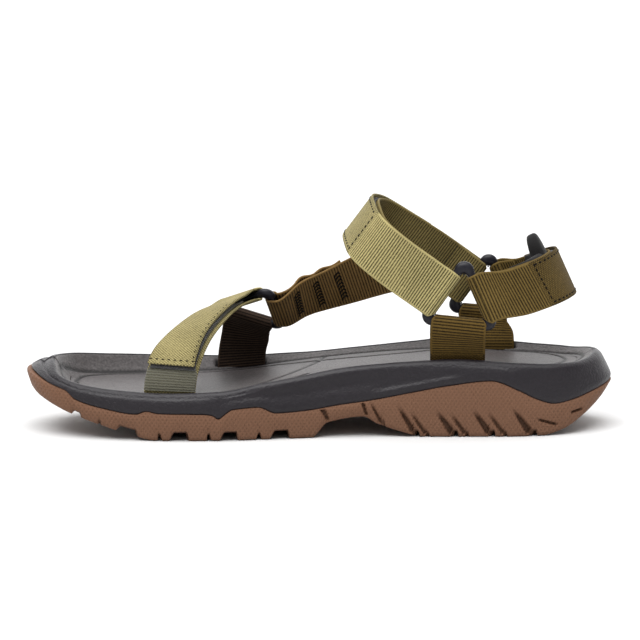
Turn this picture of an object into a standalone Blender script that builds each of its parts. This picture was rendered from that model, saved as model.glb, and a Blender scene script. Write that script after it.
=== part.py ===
"""Strappy sport sandal for the right foot.

Frame: toe towards -X, heel towards +X, medial (inner) side -Y, lateral (outer) side +Y, +Z up.
The origin is the middle of the footprint on the ground.  Lengths below are in millimetres and
angles in degrees, with Y measured from the line through the toe and the heel; row() moves a point
to the origin and turns it into metres where a mesh is made.

The sole is three stacked slabs (rubber outsole, foam midsole, foam topsole) with a shank between
the two foams.  25 mm webbing rises from slots in the topsole to three triangular rings, and three
webbing straps join the rings: each adjustable strap turns round a ring bar and comes back over
itself as a flap that a hook patch holds to a loop patch.
"""

import math

import bmesh
import bpy
import numpy as np
from mathutils import Matrix, Vector

MM = 0.001

# ---------------------------------------------------------------- driving dimensions (mm)
SOLE_LENGTH = 292.0
ORIGIN = (0.0, 2.25, 0.0)        # the middle of the footprint
WEB_WIDTH = 25.0
WEB_THICKNESS = 1.2
PATCH_WIDTH = 22.0
PATCH_THICKNESS = 0.8
GAP = 0.3
FLOOR_GAP = 0.6                  # foam to rubber floor, wider because the arch step is steep
RING_SIDE_RADIUS = 20.2          # corner to centre of the triangle of the bar's centre-line
RING_BAR_RADIUS = 1.9
RING_FILLET = 3.0
END_LEAN = (5.6, 3.6)            # how far the rim leans in at the toe and the heel
SEAM_INSET = 5.6                 # midsole rim to topsole seam, measured in from the outline
FLOOR_INSET = 10.0               # innermost rings of the rubber's floor and of the foam's seat
SEAT_INSET = 13.0
DISH = ((1.8, 0.72), (4.5, 0.34), (7.6, 0.1))    # footbed edge: distance in, share of its lift left
SLOT_LENGTH = 27.0
SLOT_WIDTH = 3.7
SLOT_PLACES = (("toe", -73, True, 9.2), ("front", -41.2, False, 9.2), ("medial", 67.1, True, 9.2),
               ("lateral", 87.4, False, 10.2))     # name, x, medial side, outline to its middle
ANCHOR_RUN = 3.0                 # straight run of an anchor below its ring
TAIL_LENGTH = 13.0               # webbing tail glued under the topsole
POCKET_DEPTH = 3.6
FOLD_GAP = 0.3                   # half of the gap between the two parts of a flap
FACE_HALF = 12.0                 # half width of webbing on a ring's face
SQUEEZED_HALF = 10.6             # and inside the ring
PIVOT_SIZE = 8.0
CORNER_STEPS = 6                 # points round each corner of a ring
INSTEP_SHIFT = -2.6              # how far the straps sit off the middle of the medial ring's bars
HEEL_SHIFT = 2.8
BAR_RELIEF = 14.0                # length over which a flap closes down to its patch spacing
LEAVE_RUN = 4.5                  # straight run of a strap beside its ring
TOE_LEAVE = -60.0                # where the toe strap leaves its bar, as an angle round it
INSTEP_PEEL = 50.0               # lengths along the strap from its ring: fold of the flap's tip,
INSTEP_FLAP = 138.0              # end of the flap, start and end of the loop patch
INSTEP_LOOPS = (12.0, 124.0)
INSTEP_TAIL = 16.0               # sewn end inside the lateral ring
HEEL_PEEL = 28.0
HEEL_FLAP = 98.0
HEEL_LOOPS = (12.0, 92.0)
HEEL_TAIL = 14.0
TOE_FLAP = 76.0
TOE_LOOPS_START = 14.0
HOOK_MARGIN = 3.0                # the hook patch stops this far short of the loop patch
SHANK_DROP = 1.5                 # seat to the middle of the shank
SHANK_THICKNESS = 1.8
SHANK_REACH = (-25.0, 85.0)
SHANK_HALF = 10.0
SHANK_Y = 1.5
TACKS = (14.0, 26.0, 38.0)       # bartacks, as lengths along the connecting strap from the front ring
TACK_WIDTH = 1.6
TACK_HALF = 8.5
TACK_THICKNESS = 0.5
OUTER_LAYER = 42.0               # length of the folded outer layer
WAVE = 1.7                       # how far it bulges between bartacks
PAD_START = 17.0                 # pad ends, as lengths along the heel strap
PAD_END = 88.0
PAD_THICKNESS = (1.8, 8.2)       # at its ends and behind the heel
PAD_HALF = 12.6
PAD_SIDES = 12
TAB_RISE = 9.8
TAB_HALF = 10.5

WRAP_RADIUS = RING_BAR_RADIUS + GAP + WEB_THICKNESS / 2
FLAP_SPACING = WEB_THICKNESS + 2 * PATCH_THICKNESS + 3 * GAP
LOOP_PATCH_OFFSET = WEB_THICKNESS / 2 + GAP + PATCH_THICKNESS / 2
HOOK_PATCH_OFFSET = LOOP_PATCH_OFFSET + PATCH_THICKNESS + GAP

STATIONS = 48                    # stations along each side of the sole

# Sole outline, half-breadths along X (toe to heel).
OUTLINE_X = (-146, -144, -138, -128, -110, -90, -70, -50, -25, 5, 35, 65, 90, 110, 125, 137, 144, 146)
MEDIAL_Y = (-6, -17, -28, -36.5, -43.5, -47.5, -49.5, -49, -45, -40, -38.2, -38.5, -38.2, -35.5, -30, -20.5,
            -10, 0)
LATERAL_Y = (-6, 5, 14, 23, 33, 42.5, 49.5, 53.5, 54, 50, 45.5, 41.5, 39.5, 35.5, 29.5, 20.5, 10, 0)

# Heights along X: (x, z) pairs.
RIM_MEDIAL = ((-146, 34.5), (-132, 29.6), (-117, 26), (-101, 24.2), (-75, 23), (-47, 23.8), (-27, 27.3),
              (-7, 30.6), (10, 33.8), (27, 35.6), (48, 37.2), (66, 38), (97, 36), (115, 35.2), (130, 35.4),
              (146, 38))
RIM_LATERAL = ((-146, 35.2), (-132, 33.5), (-110, 31.1), (-80, 28.5), (-47, 26.9), (-10, 28.8), (20, 32.4),
               (50, 36.2), (66, 38), (97, 37), (115, 36.1), (130, 36), (146, 38.2))
INTERFACE = ((-146, 30), (-134, 26), (-124, 23), (-119, 18.8), (-106, 15), (-90, 12.6), (-55, 12.6),
             (-42, 15), (-29, 15.6), (-21, 12.4), (-7, 13.4), (10, 16), (25, 18), (45, 21.8), (62, 25),
             (83, 27.4), (97, 22.4), (106, 18), (115, 15.6), (124, 17), (133, 19.6), (146, 23.4))
BOTTOM = ((-146, 25.5), (-142, 20.8), (-135, 17), (-120, 11), (-106, 6.6), (-90, 2), (-80, 0), (-4, 0),
          (4, 7.4), (21, 10), (28, 6.4), (39, 2.6), (50, 0), (108, 0), (120, 2.7), (129, 7.8), (137, 13.6),
          (146, 21.5))
FOOTBED = ((-146, 29.5), (-135, 26), (-120, 22.4), (-100, 20.6), (-80, 19.6), (-60, 19.6), (-40, 21),
           (-20, 24), (0, 27.2), (20, 29.8), (40, 31.8), (60, 33), (80, 33.2), (100, 32.6), (120, 32.6),
           (146, 35))
RUBBER = ((-146, 2.4), (-120, 3.5), (-100, 5.5), (120, 5.5), (146, 4))
TOPSOLE = ((-146, 3), (-120, 4.2), (-100, 6), (146, 6))

# Rings: centre, outward normal, the plane's first axis, the angle of the first corner from it, and
# the sense in which the corners follow round the normal.
MEDIAL_RING = dict(centre=(68.1, -35.0, 65.8), normal=(0, -0.993, 0.115), across=(1, 0, 0), first=84, turn=1)
LATERAL_RING = dict(centre=(85.2, 34.5, 62.0), normal=(0, 0.993, 0.115), across=(1, 0, 0), first=85, turn=-1)
FRONT_RING = dict(centre=(-32.6, 26.8, 54.5), normal=(0.139, 0.614, 0.776), across=(0.335, -0.786, 0.519),
                  first=0, turn=1)

# Tread: transverse grooves as (x, width, depth, turn), then lengthwise channels as (x0, x1, y).
FORE_GROOVES = ((-118, 4, 2.2, 0), (-107.5, 1.6, 1.8, 0), (-93.5, 8, 3, 0), (-79, 1.8, 3, 0),
                (-68.5, 7, 4, 0), (-55, 1.8, 3, 0), (-44, 6.5, 4, 0), (-30, 1.8, 3, 0), (-18.6, 7, 4, 0))
HEEL_GROOVES = ((45, 3.4, 3.2, 24), (58, 3.4, 3.6, 24), (71, 3.4, 3.8, 24), (84, 3.4, 3.8, 24),
                (97, 3.4, 3.6, 24), (112, 3.4, 3, 24))
CHANNELS = ((-100, -8, -16), (-100, -8, 18))
CHANNEL_WIDTH = 4.0
CHANNEL_DEPTH = 3.0

RUBBER_BROWN = (0.14, 0.075, 0.055)
FOAM_BLACK = (0.035, 0.032, 0.036)
FOOTBED_GREY = (0.075, 0.07, 0.072)
LIGHT_OLIVE = (0.27, 0.235, 0.10)
BROWN_OLIVE = (0.105, 0.07, 0.025)
DARK_OLIVE = (0.035, 0.025, 0.012)
PATCH_GREEN = (0.12, 0.115, 0.08)
NYLON_BLACK = (0.03, 0.03, 0.033)


# ---------------------------------------------------------------- plain mathematics
def row(points):
    """Points in metres, measured from the origin."""
    return (np.asarray(points, float) - ORIGIN) * MM


def unit(vector):
    """Vector(s) of length one."""
    vector = np.asarray(vector, float)
    return vector / np.linalg.norm(vector, axis=-1, keepdims=True)


def hermite(x, xs, ys, slopes):
    """Cubic curve through the points (xs, ys) with the given slopes there."""
    k = np.clip(np.searchsorted(xs, x) - 1, 0, len(xs) - 2)
    h = xs[k + 1] - xs[k]
    t = np.clip((x - xs[k]) / h, 0, 1)
    if ys.ndim == 2:
        h = h[:, None]
        t = t[:, None]
    start = (1 + 2 * t) * (1 - t) ** 2 * ys[k] + t * (1 - t) ** 2 * h * slopes[k]
    end = t * t * (3 - 2 * t) * ys[k + 1] - t * t * (1 - t) * h * slopes[k + 1]
    return start + end


def level(pairs, x):
    """Curve through (x, z) pairs that never overshoots them, so flats stay flat."""
    xs, ys = (np.array(column, float) for column in zip(*pairs))
    secant = np.diff(ys) / np.diff(xs)
    before, after = secant[:-1], secant[1:]
    same_way = before * after > 0
    middle = np.where(same_way, 2 * before * after / np.where(same_way, before + after, 1), 0)
    slopes = np.concatenate(([secant[0]], middle, [secant[-1]]))
    return hermite(np.atleast_1d(np.asarray(x, float)), xs, ys, slopes)


# ---------------------------------------------------------------- the sole's plan shape
def outline_side(ys):
    """One side's half-breadths; the angle runs 0 to 180 from toe to heel so that both ends are round."""
    angle = np.linspace(0, math.pi, STATIONS + 1)
    half = SOLE_LENGTH / 2
    known = np.arccos(np.clip(-np.array(OUTLINE_X, float) / half, -1, 1))
    return -half * np.cos(angle), level(tuple(zip(known, ys)), angle)


def sole_outline():
    """Closed outline: toe tip, medial side, heel tip, lateral side back, with its inward normals."""
    x, medial = outline_side(MEDIAL_Y)
    _, lateral = outline_side(LATERAL_Y)
    points = np.column_stack([np.concatenate([x, x[-2:0:-1]]), np.concatenate([medial, lateral[-2:0:-1]])])
    along = np.roll(points, -1, axis=0) - np.roll(points, 1, axis=0)
    return points, unit(np.column_stack([-along[:, 1], along[:, 0]]))


OUTLINE, INWARD = sole_outline()
RING_X = OUTLINE[:, 0]
IS_MEDIAL = np.arange(len(OUTLINE)) <= STATIONS
RIM_Z = np.where(IS_MEDIAL, level(RIM_MEDIAL, RING_X), level(RIM_LATERAL, RING_X))
INTERFACE_Z = level(INTERFACE, RING_X)
BOTTOM_Z = level(BOTTOM, RING_X)
LEAN = np.where(RING_X < 0, *END_LEAN) * np.clip((np.abs(RING_X) - 122) / 24, 0, 1) ** 1.5


def inner_x(inset):
    """X of the outline moved in by inset."""
    return OUTLINE[:, 0] + INWARD[:, 0] * inset


def floor_at(inset):
    """Height of the rubber's floor along the outline moved in by inset."""
    return level(BOTTOM, inner_x(inset)) + level(RUBBER, inner_x(inset))


def foot_at(inset):
    """Height of the footbed along the outline moved in by inset."""
    return level(FOOTBED, inner_x(inset))


def seat_at(inset):
    """Height of the midsole's seat along the outline moved in by inset."""
    return foot_at(inset) - level(TOPSOLE, inner_x(inset))


def seat_height(x):
    """Height of the midsole's seat under the topsole at x."""
    return float((level(FOOTBED, x) - level(TOPSOLE, x))[0])


def mid_line(ring):
    """Middle of each station between the two sides of a ring."""
    return (ring + np.roll(ring[::-1], 1, axis=0)) / 2


def sole_slab(name, sections, colour, roughness):
    """Closed loft of rings round the sole, shut by a mid-line below and above.

    A section is (inset, reach, heights): the outline moved in by inset, then drawn to the
    mid-line so that reach of its breadth is left.
    """
    count = len(OUTLINE)
    rings = []
    for inset, reach, heights in sections:
        flat = OUTLINE + INWARD * np.reshape(inset, (-1, 1))
        middle = mid_line(flat)
        flat = middle + (flat - middle) * reach
        rings.append(np.column_stack([flat, heights]))
    rings = [mid_line(rings[0])] + rings + [mid_line(rings[-1])]
    here = np.arange(count)
    after = (here + 1) % count
    quads = []
    for low in range(0, (len(rings) - 1) * count, count):
        high = low + count
        quads.append(np.column_stack([low + here, low + after, high + after, high + here]))
    return mesh_object(name, np.vstack(rings), np.vstack(quads).tolist(), colour, roughness, weld=True)


# ---------------------------------------------------------------- objects
def start_collections():
    """Empty file, with one collection for the parts and one for the cutters."""
    for old in list(bpy.data.objects):
        bpy.data.objects.remove(old, do_unlink=True)
    made = []
    for name in ("sport_sandal", "cutters"):
        collection = bpy.data.collections.new(name)
        bpy.context.scene.collection.children.link(collection)
        made.append(collection)
    return made


PARTS, CUTTERS = start_collections()


def finish(name, colour, roughness):
    """Principled material for one part."""
    material = bpy.data.materials.new(name + "_finish")
    material.use_nodes = True
    shader = material.node_tree.nodes["Principled BSDF"]
    shader.inputs["Base Color"].default_value = (*colour, 1)
    shader.inputs["Roughness"].default_value = roughness
    shader.inputs["Metallic"].default_value = 0.0
    return material


def mesh_object(name, points, faces, colour, roughness, weld=False):
    """Object from points in millimetres; weld merges the doubled points of a closed end."""
    mesh = bpy.data.meshes.new(name)
    mesh.from_pydata(row(points).tolist(), [], faces)
    shape = bmesh.new()
    shape.from_mesh(mesh)
    if weld:
        bmesh.ops.remove_doubles(shape, verts=shape.verts, dist=0.00001)
        bmesh.ops.dissolve_degenerate(shape, edges=shape.edges, dist=0.00001)
        bmesh.ops.recalc_face_normals(shape, faces=shape.faces)
    shape.to_mesh(mesh)
    shape.free()
    mesh.shade_smooth()
    mesh.set_sharp_from_angle(angle=math.radians(40))
    mesh.materials.append(finish(name, colour, roughness))
    part = bpy.data.objects.new(name, mesh)
    PARTS.objects.link(part)
    return part


def box_cutter(name, boxes):
    """One cutter of separate boxes: (centre, size, turn about Z, pitch about Y) in mm and degrees."""
    shape = bmesh.new()
    for centre, size, turn, pitch in boxes:
        cube = bmesh.ops.create_cube(shape, size=1.0)["verts"]
        local = np.array([v.co for v in cube]) * size
        c, s = math.cos(math.radians(pitch)), math.sin(math.radians(pitch))
        local = local @ np.array([[c, 0, s], [0, 1, 0], [-s, 0, c]])
        c, s = math.cos(math.radians(turn)), math.sin(math.radians(turn))
        local = local @ np.array([[c, s, 0], [-s, c, 0], [0, 0, 1]]) + centre
        for vertex, place in zip(cube, row(local)):
            vertex.co = place
    mesh = bpy.data.meshes.new(name)
    shape.to_mesh(mesh)
    shape.free()
    cutter = bpy.data.objects.new(name, mesh)
    cutter.hide_render = True
    cutter.display_type = "WIRE"
    CUTTERS.objects.link(cutter)
    return cutter


def cut(part, cutter):
    """Take the cutter's shape out of the part."""
    boolean = part.modifiers.new(cutter.name, "BOOLEAN")
    boolean.operation = "DIFFERENCE"
    boolean.solver = "EXACT"
    boolean.object = cutter


# ---------------------------------------------------------------- webbing paths
# A path is (centres, halves): points on the middle line and vectors from there to one edge.
def smooth_path(stops, spacing=5.0, half=WEB_WIDTH / 2):
    """Smooth path through stops of (centre, width direction); spacing is the step along it."""
    centres = np.array([stop[0] for stop in stops], float)
    reach = np.array([stop[2] if len(stop) > 2 else half for stop in stops])
    halves = unit([stop[1] for stop in stops]) * reach[:, None]
    both = np.hstack([centres, halves])
    chord = np.concatenate([[0], np.cumsum(np.linalg.norm(np.diff(centres, axis=0), axis=1))])
    at = np.linspace(0, chord[-1], max(2, int(chord[-1] / spacing) + 1))
    slopes = np.gradient(both, chord, axis=0)
    both = hermite(at, chord, both, slopes)
    return both[:, :3], both[:, 3:]


def join(*paths):
    """Paths one after another, without doubled points."""
    centres = np.vstack([path[0] for path in paths])
    halves = np.vstack([path[1] for path in paths])
    keep = np.concatenate([[True], np.linalg.norm(np.diff(centres, axis=0), axis=1) > 0.25])
    return centres[keep], halves[keep]


def reverse(path):
    """The same path walked the other way."""
    return path[0][::-1], path[1][::-1]


def distance(path):
    """Length along the path at each point."""
    return np.concatenate([[0], np.cumsum(np.linalg.norm(np.diff(path[0], axis=0), axis=1))])


def part_of(path, start, end, spacing=5.0):
    """Stretch of a path between two lengths along it."""
    along = distance(path)
    at = np.linspace(start, end, max(2, int((end - start) / spacing) + 1))
    both = np.hstack(path)
    both = np.column_stack([np.interp(at, along, both[:, k]) for k in range(6)])
    return both[:, :3], both[:, 3:]


def offset(path, out, side):
    """Path moved off its own face: out is a number or one value for each point."""
    along = np.gradient(path[0], axis=0)
    face = unit(np.cross(along, path[1])) * side
    return path[0] + face * np.reshape(out, (-1, 1)), path[1]


def narrowed(path, half):
    """The same path with another half width."""
    return path[0], unit(path[1]) * half


def strap(name, path, thickness, colour):
    """Webbing: an open strip along the path, given its thickness by Solidify."""
    centres, halves = path
    rows = [centres - halves, centres, centres + halves]
    count = len(centres)
    faces = [(r * count + k, r * count + k + 1, (r + 1) * count + k + 1, (r + 1) * count + k)
             for r in range(2) for k in range(count - 1)]
    part = mesh_object(name, np.vstack(rows), faces, colour, 0.85)
    solid = part.modifiers.new("thickness", "SOLIDIFY")
    solid.thickness = thickness * MM
    solid.offset = 0
    return part


# ---------------------------------------------------------------- rings
def ring_bars(ring):
    """Corners of the ring and, for each bar, its middle, its axis and the way out of the ring."""
    centre = np.array(ring["centre"])
    normal = unit(ring["normal"])
    across = unit(np.array(ring["across"]) - np.dot(ring["across"], normal) * normal)
    up = np.cross(normal, across) * ring["turn"]
    angles = np.radians(ring["first"] + np.array([0, 120, 240]))
    corners = centre + RING_SIDE_RADIUS * (np.outer(np.cos(angles), across) + np.outer(np.sin(angles), up))
    bars = {}
    for first, second in ((0, 1), (1, 2), (2, 0)):
        middle = (corners[first] + corners[second]) / 2
        bars[first, second] = dict(middle=middle, axis=unit(corners[first] - corners[second]),
                                   out=unit(middle - centre), normal=normal)
    return corners, bars


def make_ring(name, ring):
    """Moulded ring: a round bar along a triangle whose corners are arcs."""
    corners, _ = ring_bars(ring)
    points = []
    for k in range(3):
        corner = corners[k]
        to_last = unit(corners[k - 1] - corner)
        to_next = unit(corners[(k + 1) % 3] - corner)
        middle = corner + unit(to_last + to_next) * RING_FILLET * 2
        first = unit(corner + to_last * RING_FILLET * math.sqrt(3) - middle)
        last = unit(corner + to_next * RING_FILLET * math.sqrt(3) - middle)
        whole = math.radians(120)
        for turn in np.linspace(0, whole, CORNER_STEPS):
            direction = (math.sin(whole - turn) * first + math.sin(turn) * last) / math.sin(whole)
            points.append(middle + direction * RING_FILLET)
    curve = bpy.data.curves.new(name, "CURVE")
    curve.dimensions = "3D"
    curve.bevel_depth = RING_BAR_RADIUS * MM
    curve.bevel_resolution = 2
    spline = curve.splines.new("POLY")
    spline.points.add(len(points) - 1)
    for point, place in zip(spline.points, points):
        point.co = (*row(place), 1)
    spline.use_cyclic_u = True
    curve.materials.append(finish(name, NYLON_BLACK, 0.45))
    part = bpy.data.objects.new(name, curve)
    PARTS.objects.link(part)
    return part


def wrap(bar, start, end, shift=0.0):
    """Arc of webbing round a bar: -90 is the foot side, 0 inside the ring, 90 the outer side.

    Inside the ring the webbing is squeezed between the other two bars; on the ring's faces it
    spreads and slides along the bar by shift.
    """
    steps = max(2, int(abs(end - start) / 22) + 1)
    angle = np.radians(np.linspace(start, end, steps))[:, None]
    squeeze = np.cos(angle) ** 2
    half = FACE_HALF + (SQUEEZED_HALF - FACE_HALF) * squeeze
    slide = shift * (1 - 0.6 * squeeze)
    arc = WRAP_RADIUS * (np.sin(angle) * bar["normal"] - np.cos(angle) * bar["out"])
    return bar["middle"] + bar["axis"] * slide + arc, bar["axis"] * half


def leave(bar, angle, shift=0.0, run=LEAVE_RUN):
    """Two stops for smooth_path: the end of a wrap, and the webbing a short run straight on from it."""
    centres, halves = wrap(bar, angle, angle + 1, shift)
    half = np.linalg.norm(halves[0])
    turn = math.radians(angle)
    ahead = math.copysign(1, angle) * (math.cos(turn) * bar["normal"] + math.sin(turn) * bar["out"])
    return [(centres[0], halves[0], half), (centres[0] + ahead * run, halves[0], half)]


# ---------------------------------------------------------------- sole
def slot_places():
    """Middle of each strap slot: (x, y, inward sign, slope of the seat there in degrees)."""
    places = {}
    for name, x, medial, inset in SLOT_PLACES:
        side = IS_MEDIAL if medial else ~IS_MEDIAL
        order = np.argsort(RING_X[side])
        edge = float(np.interp(x, RING_X[side][order], OUTLINE[side, 1][order]))
        sign = 1 if medial else -1
        slope = math.degrees(math.atan((seat_height(x + 12) - seat_height(x - 12)) / 24))
        places[name] = (x, edge + sign * inset, sign, slope)
    return places


SLOTS = slot_places()


def make_outsole():
    """Rubber cup: treaded underside, a lip up the side and a flat floor inside."""
    lip = 2.6
    foot = lip + 0.6
    sections = [(FLOOR_INSET, 1, level(BOTTOM, inner_x(FLOOR_INSET))), (foot, 1, level(BOTTOM, inner_x(foot))),
                (1.2, 1, BOTTOM_Z + 0.8), (0.3, 1, (BOTTOM_Z + INTERFACE_Z) / 2), (0, 1, INTERFACE_Z),
                (lip, 1, INTERFACE_Z), (foot, 1, floor_at(foot)), (FLOOR_INSET, 1, floor_at(FLOOR_INSET))]
    outsole = sole_slab("outsole", sections, RUBBER_BROWN, 0.8)
    tread = []
    for x, width, depth, turn in FORE_GROOVES + HEEL_GROOVES:
        bottom = level(BOTTOM, (x - 6, x, x + 6))
        pitch = math.degrees(math.atan((bottom[2] - bottom[0]) / 12))
        tread.append(((x, 0, bottom[1] + depth - 4), (width, 130, 8), turn, pitch))
    cut(outsole, box_cutter("tread_grooves", tread))
    channels = []
    for x0, x1, y in CHANNELS:
        channels.append((((x0 + x1) / 2, y, CHANNEL_DEPTH - 4), (x1 - x0, CHANNEL_WIDTH, 8), 0, 0))
    cut(outsole, box_cutter("tread_channels", channels))


def make_midsole():
    """Foam midsole: it fills the rubber cup, bulges over the lip and rises to a rim round the topsole."""
    body = RIM_Z - INTERFACE_Z
    seam = SEAM_INSET + LEAN
    sections = [(FLOOR_INSET, 1, floor_at(FLOOR_INSET) + FLOOR_GAP), (3.7, 1, floor_at(3.7) + FLOOR_GAP),
                (3.1, 1, INTERFACE_Z + GAP),
                (0.4, 1, INTERFACE_Z + GAP), (0.1, 1, INTERFACE_Z + GAP + 0.15 * body),
                (0.9 + 0.6 * LEAN, 1, INTERFACE_Z + 0.6 * body), (2.6 + LEAN, 1, RIM_Z - 0.8),
                (3.6 + LEAN, 1, RIM_Z), (4.7 + LEAN, 1, RIM_Z - 0.4),
                (seam, 1, RIM_Z - 1.6), (seam, 1, seat_at(seam)), (SEAT_INSET, 1, seat_at(SEAT_INSET))]
    midsole = sole_slab("midsole", sections, FOAM_BLACK, 0.7)
    pockets = []
    for x, y, sign, slope in SLOTS.values():
        inner = SLOT_WIDTH / 2 + 2 + TAIL_LENGTH
        middle = y + sign * (inner - SLOT_WIDTH / 2) / 2
        high = 6.0
        height = POCKET_DEPTH + high
        pockets.append(((x, middle, seat_height(x) - POCKET_DEPTH + height / 2),
                        (SLOT_LENGTH, inner + SLOT_WIDTH / 2, height), 0, slope))
    cut(midsole, box_cutter("tail_pockets", pockets))
    cut(midsole, shank_strip("shank_pocket", 0.0, 2 * (SHANK_DROP + SHANK_THICKNESS / 2 + GAP), 2 * GAP))


def shank_strip(name, drop, thickness, margin):
    """Long strip that follows the seat: the shank itself, or the cutter of its pocket."""
    x = np.linspace(SHANK_REACH[0] - margin, SHANK_REACH[1] + margin, 14)
    z = level(FOOTBED, x) - level(TOPSOLE, x) - drop
    centres = np.column_stack([x, np.full_like(x, SHANK_Y), z])
    halves = np.tile((0, SHANK_HALF + margin, 0), (len(x), 1))
    part = strap(name, (centres, halves), thickness, NYLON_BLACK)
    if drop:
        return part
    PARTS.objects.unlink(part)
    CUTTERS.objects.link(part)
    part.hide_render = True
    part.display_type = "WIRE"
    return part


def make_topsole():
    """Foam footbed: dished between its raised edges, with a slot for each strap end."""
    edge = RIM_Z - 1.3
    seam = SEAM_INSET + GAP + LEAN
    sections = [(SEAT_INSET, 1, seat_at(SEAT_INSET) + GAP), (seam, 1, seat_at(seam) + GAP), (seam, 1, edge)]
    for step, share in DISH:
        foot = foot_at(seam + step)
        sections.append((seam + step, 1, foot + share * (edge - foot)))
    sections.append((seam + DISH[-1][0], 0.5, foot_at(seam + DISH[-1][0])))
    topsole = sole_slab("topsole", sections, FOOTBED_GREY, 0.85)
    slots = []
    for x, y, _, _ in SLOTS.values():
        slots.append(((x, y, seat_height(x) + 5), (SLOT_LENGTH, SLOT_WIDTH, 30), 0, 0))
    cut(topsole, box_cutter("strap_slots", slots))


# ---------------------------------------------------------------- strap ends in the sole
def tail(slot, layer):
    """Webbing from above the slot down through it and round under the topsole.

    layer -1 is the outer layer of a doubled strap, 1 the inner one and 0 a single strap.
    """
    x, y, sign, slope = SLOTS[slot]
    along = np.array([math.cos(math.radians(slope)), 0, math.sin(math.radians(slope))])
    inward = np.array([0, sign, 0])
    pivot_in = 2.15
    radius = {-1: 2.9, 0: 2.15, 1: 1.4}[layer]
    pivot = np.array([x, y, seat_height(x) + 0.6]) + inward * pivot_in
    turn = np.radians(np.linspace(0, 90, 5))[:, None]
    bend = pivot + radius * (-np.cos(turn) * inward - np.sin(turn) * np.array([0, 0, 1]))
    end = bend[-1] + inward * (TAIL_LENGTH - pivot_in)
    top = bend[0] + np.array([0, 0, 5.0])
    centres = np.vstack([top, bend, end])
    return centres, np.tile(along * WEB_WIDTH / 2, (len(centres), 1))


def tail_top(slot, layer):
    """Top of a tail as a stop for smooth_path."""
    centres, halves = tail(slot, layer)
    return centres[0], halves[0]


def make_anchor(name, slot, bar, outer, inner, colour):
    """Doubled webbing: out of the slot, round the ring's lower bar and back into the slot.

    outer and inner are the stops between the slot and the ring on the two layers.
    """
    arc = wrap(bar, 90, -90)
    flip = 1 if arc[1][0][0] > 0 else -1
    arc = (arc[0], arc[1] * flip)
    run = bar["out"] * ANCHOR_RUN
    start = [(arc[0][0] + run, arc[1][0], FACE_HALF), (arc[0][0], arc[1][0], FACE_HALF)]
    end = [(arc[0][-1], arc[1][-1], FACE_HALF), (arc[0][-1] + run, arc[1][-1], FACE_HALF)]
    up = smooth_path([tail_top(slot, -1)] + outer + start, 4.0)
    down = smooth_path(end + inner + [tail_top(slot, 1)], 4.0)
    path = join(reverse(tail(slot, -1)), up, arc, down, tail(slot, 1))
    strap(name, path, WEB_THICKNESS, colour)


def make_anchors():
    """The three doubled anchors between the sole and the rings."""
    level_x = (1, 0, 0)
    medial = ring_bars(MEDIAL_RING)[1][1, 2]
    make_anchor("medial_anchor", "medial", medial,
                [((67.2, -30.4, 38.0), level_x), ((66.9, -34.6, 45.0), (1, 0, -0.03))],
                [((66.9, -31.6, 45.0), (1, 0, -0.03)), ((67.2, -28.6, 38.0), level_x)],
                BROWN_OLIVE)
    lateral = ring_bars(LATERAL_RING)[1][1, 2]
    make_anchor("lateral_anchor", "lateral", lateral,
                [((87.4, 30.6, 37.0), level_x), ((87.0, 34.0, 42.4), (1, 0, -0.03))],
                [((87.0, 31.0, 42.4), (1, 0, -0.03)), ((87.4, 28.8, 37.0), level_x)],
                BROWN_OLIVE)
    front = ring_bars(FRONT_RING)[1][1, 2]
    make_anchor("lateral_front_anchor", "front", front,
                [((-40.6, 45.2, 30.0), (1, 0, 0.05)), ((-39.0, 44.6, 38.0), (1, 0.02, -0.06))],
                [((-39.2, 41.6, 36.0), (1, 0.02, -0.06)), ((-40.6, 43.6, 29.0), (1, 0, 0.05))],
                DARK_OLIVE)


# ---------------------------------------------------------------- adjustable straps
def flap_path(base, side):
    """Path of the flap that lies over a base path, wider apart beside the ring bar."""
    along = distance(base)
    near = np.clip(1 - along / BAR_RELIEF, 0, 1)
    ease = near * near * (3 - 2 * near)
    return offset(base, FLAP_SPACING + (2 * WRAP_RADIUS - FLAP_SPACING) * ease, side)


def instep_base():
    """Middle layer over the instep, from the medial ring's front bar to the lateral ring's."""
    bar = ring_bars(MEDIAL_RING)[1][0, 1]
    far = ring_bars(LATERAL_RING)[1][0, 1]
    lean = (0.6, 0, 0.8)
    side_lean = (0.55, 0, 0.835)
    stops = leave(bar, -90, INSTEP_SHIFT) + [
        ((48.4, -32.9, 76.8), side_lean), ((39.1, -33.4, 83.4), side_lean),
        ((30.0, -32.6, 90.4), (0.58, 0, 0.815)),
        ((24.6, -27.6, 95.0), lean), ((22.4, -16.0, 99.8), lean), ((21.8, 0.0, 102.4), lean),
        ((24.2, 17.0, 101.8), lean), ((29.2, 27.6, 99.6), lean), ((35.5, 31.6, 95.6), lean),
        ((44.0, 32.8, 90.4), lean), ((56.0, 33.6, 82.8), lean)]
    return smooth_path(stops + leave(far, 90)[::-1], 3.5)


def heel_base():
    """Layer round the back of the heel, from the medial ring's rear bar to the lateral ring's."""
    bar = ring_bars(MEDIAL_RING)[1][2, 0]
    far = ring_bars(LATERAL_RING)[1][2, 0]
    stops = leave(bar, -90, HEEL_SHIFT) + [
        ((92.6, -30.2, 69.6), (0.5, 0.08, -0.86)), ((100.8, -27.4, 71.9), (0.5, 0.1, -0.86)),
        ((109.8, -21.8, 74.2), (0.47, 0.12, -0.87)), ((116.8, -12.0, 76.1), (0.44, 0.06, -0.9)),
        ((119.2, 0.0, 76.4), (0.42, 0, -0.91)), ((117.0, 12.0, 74.8), (0.43, -0.06, -0.9)),
        ((111.2, 22.2, 71.4), (0.44, -0.1, -0.89)), ((104.0, 30.4, 67.9), (0.43, -0.04, -0.9))]
    return smooth_path(stops + leave(far, 90)[::-1], 3.5)


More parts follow.
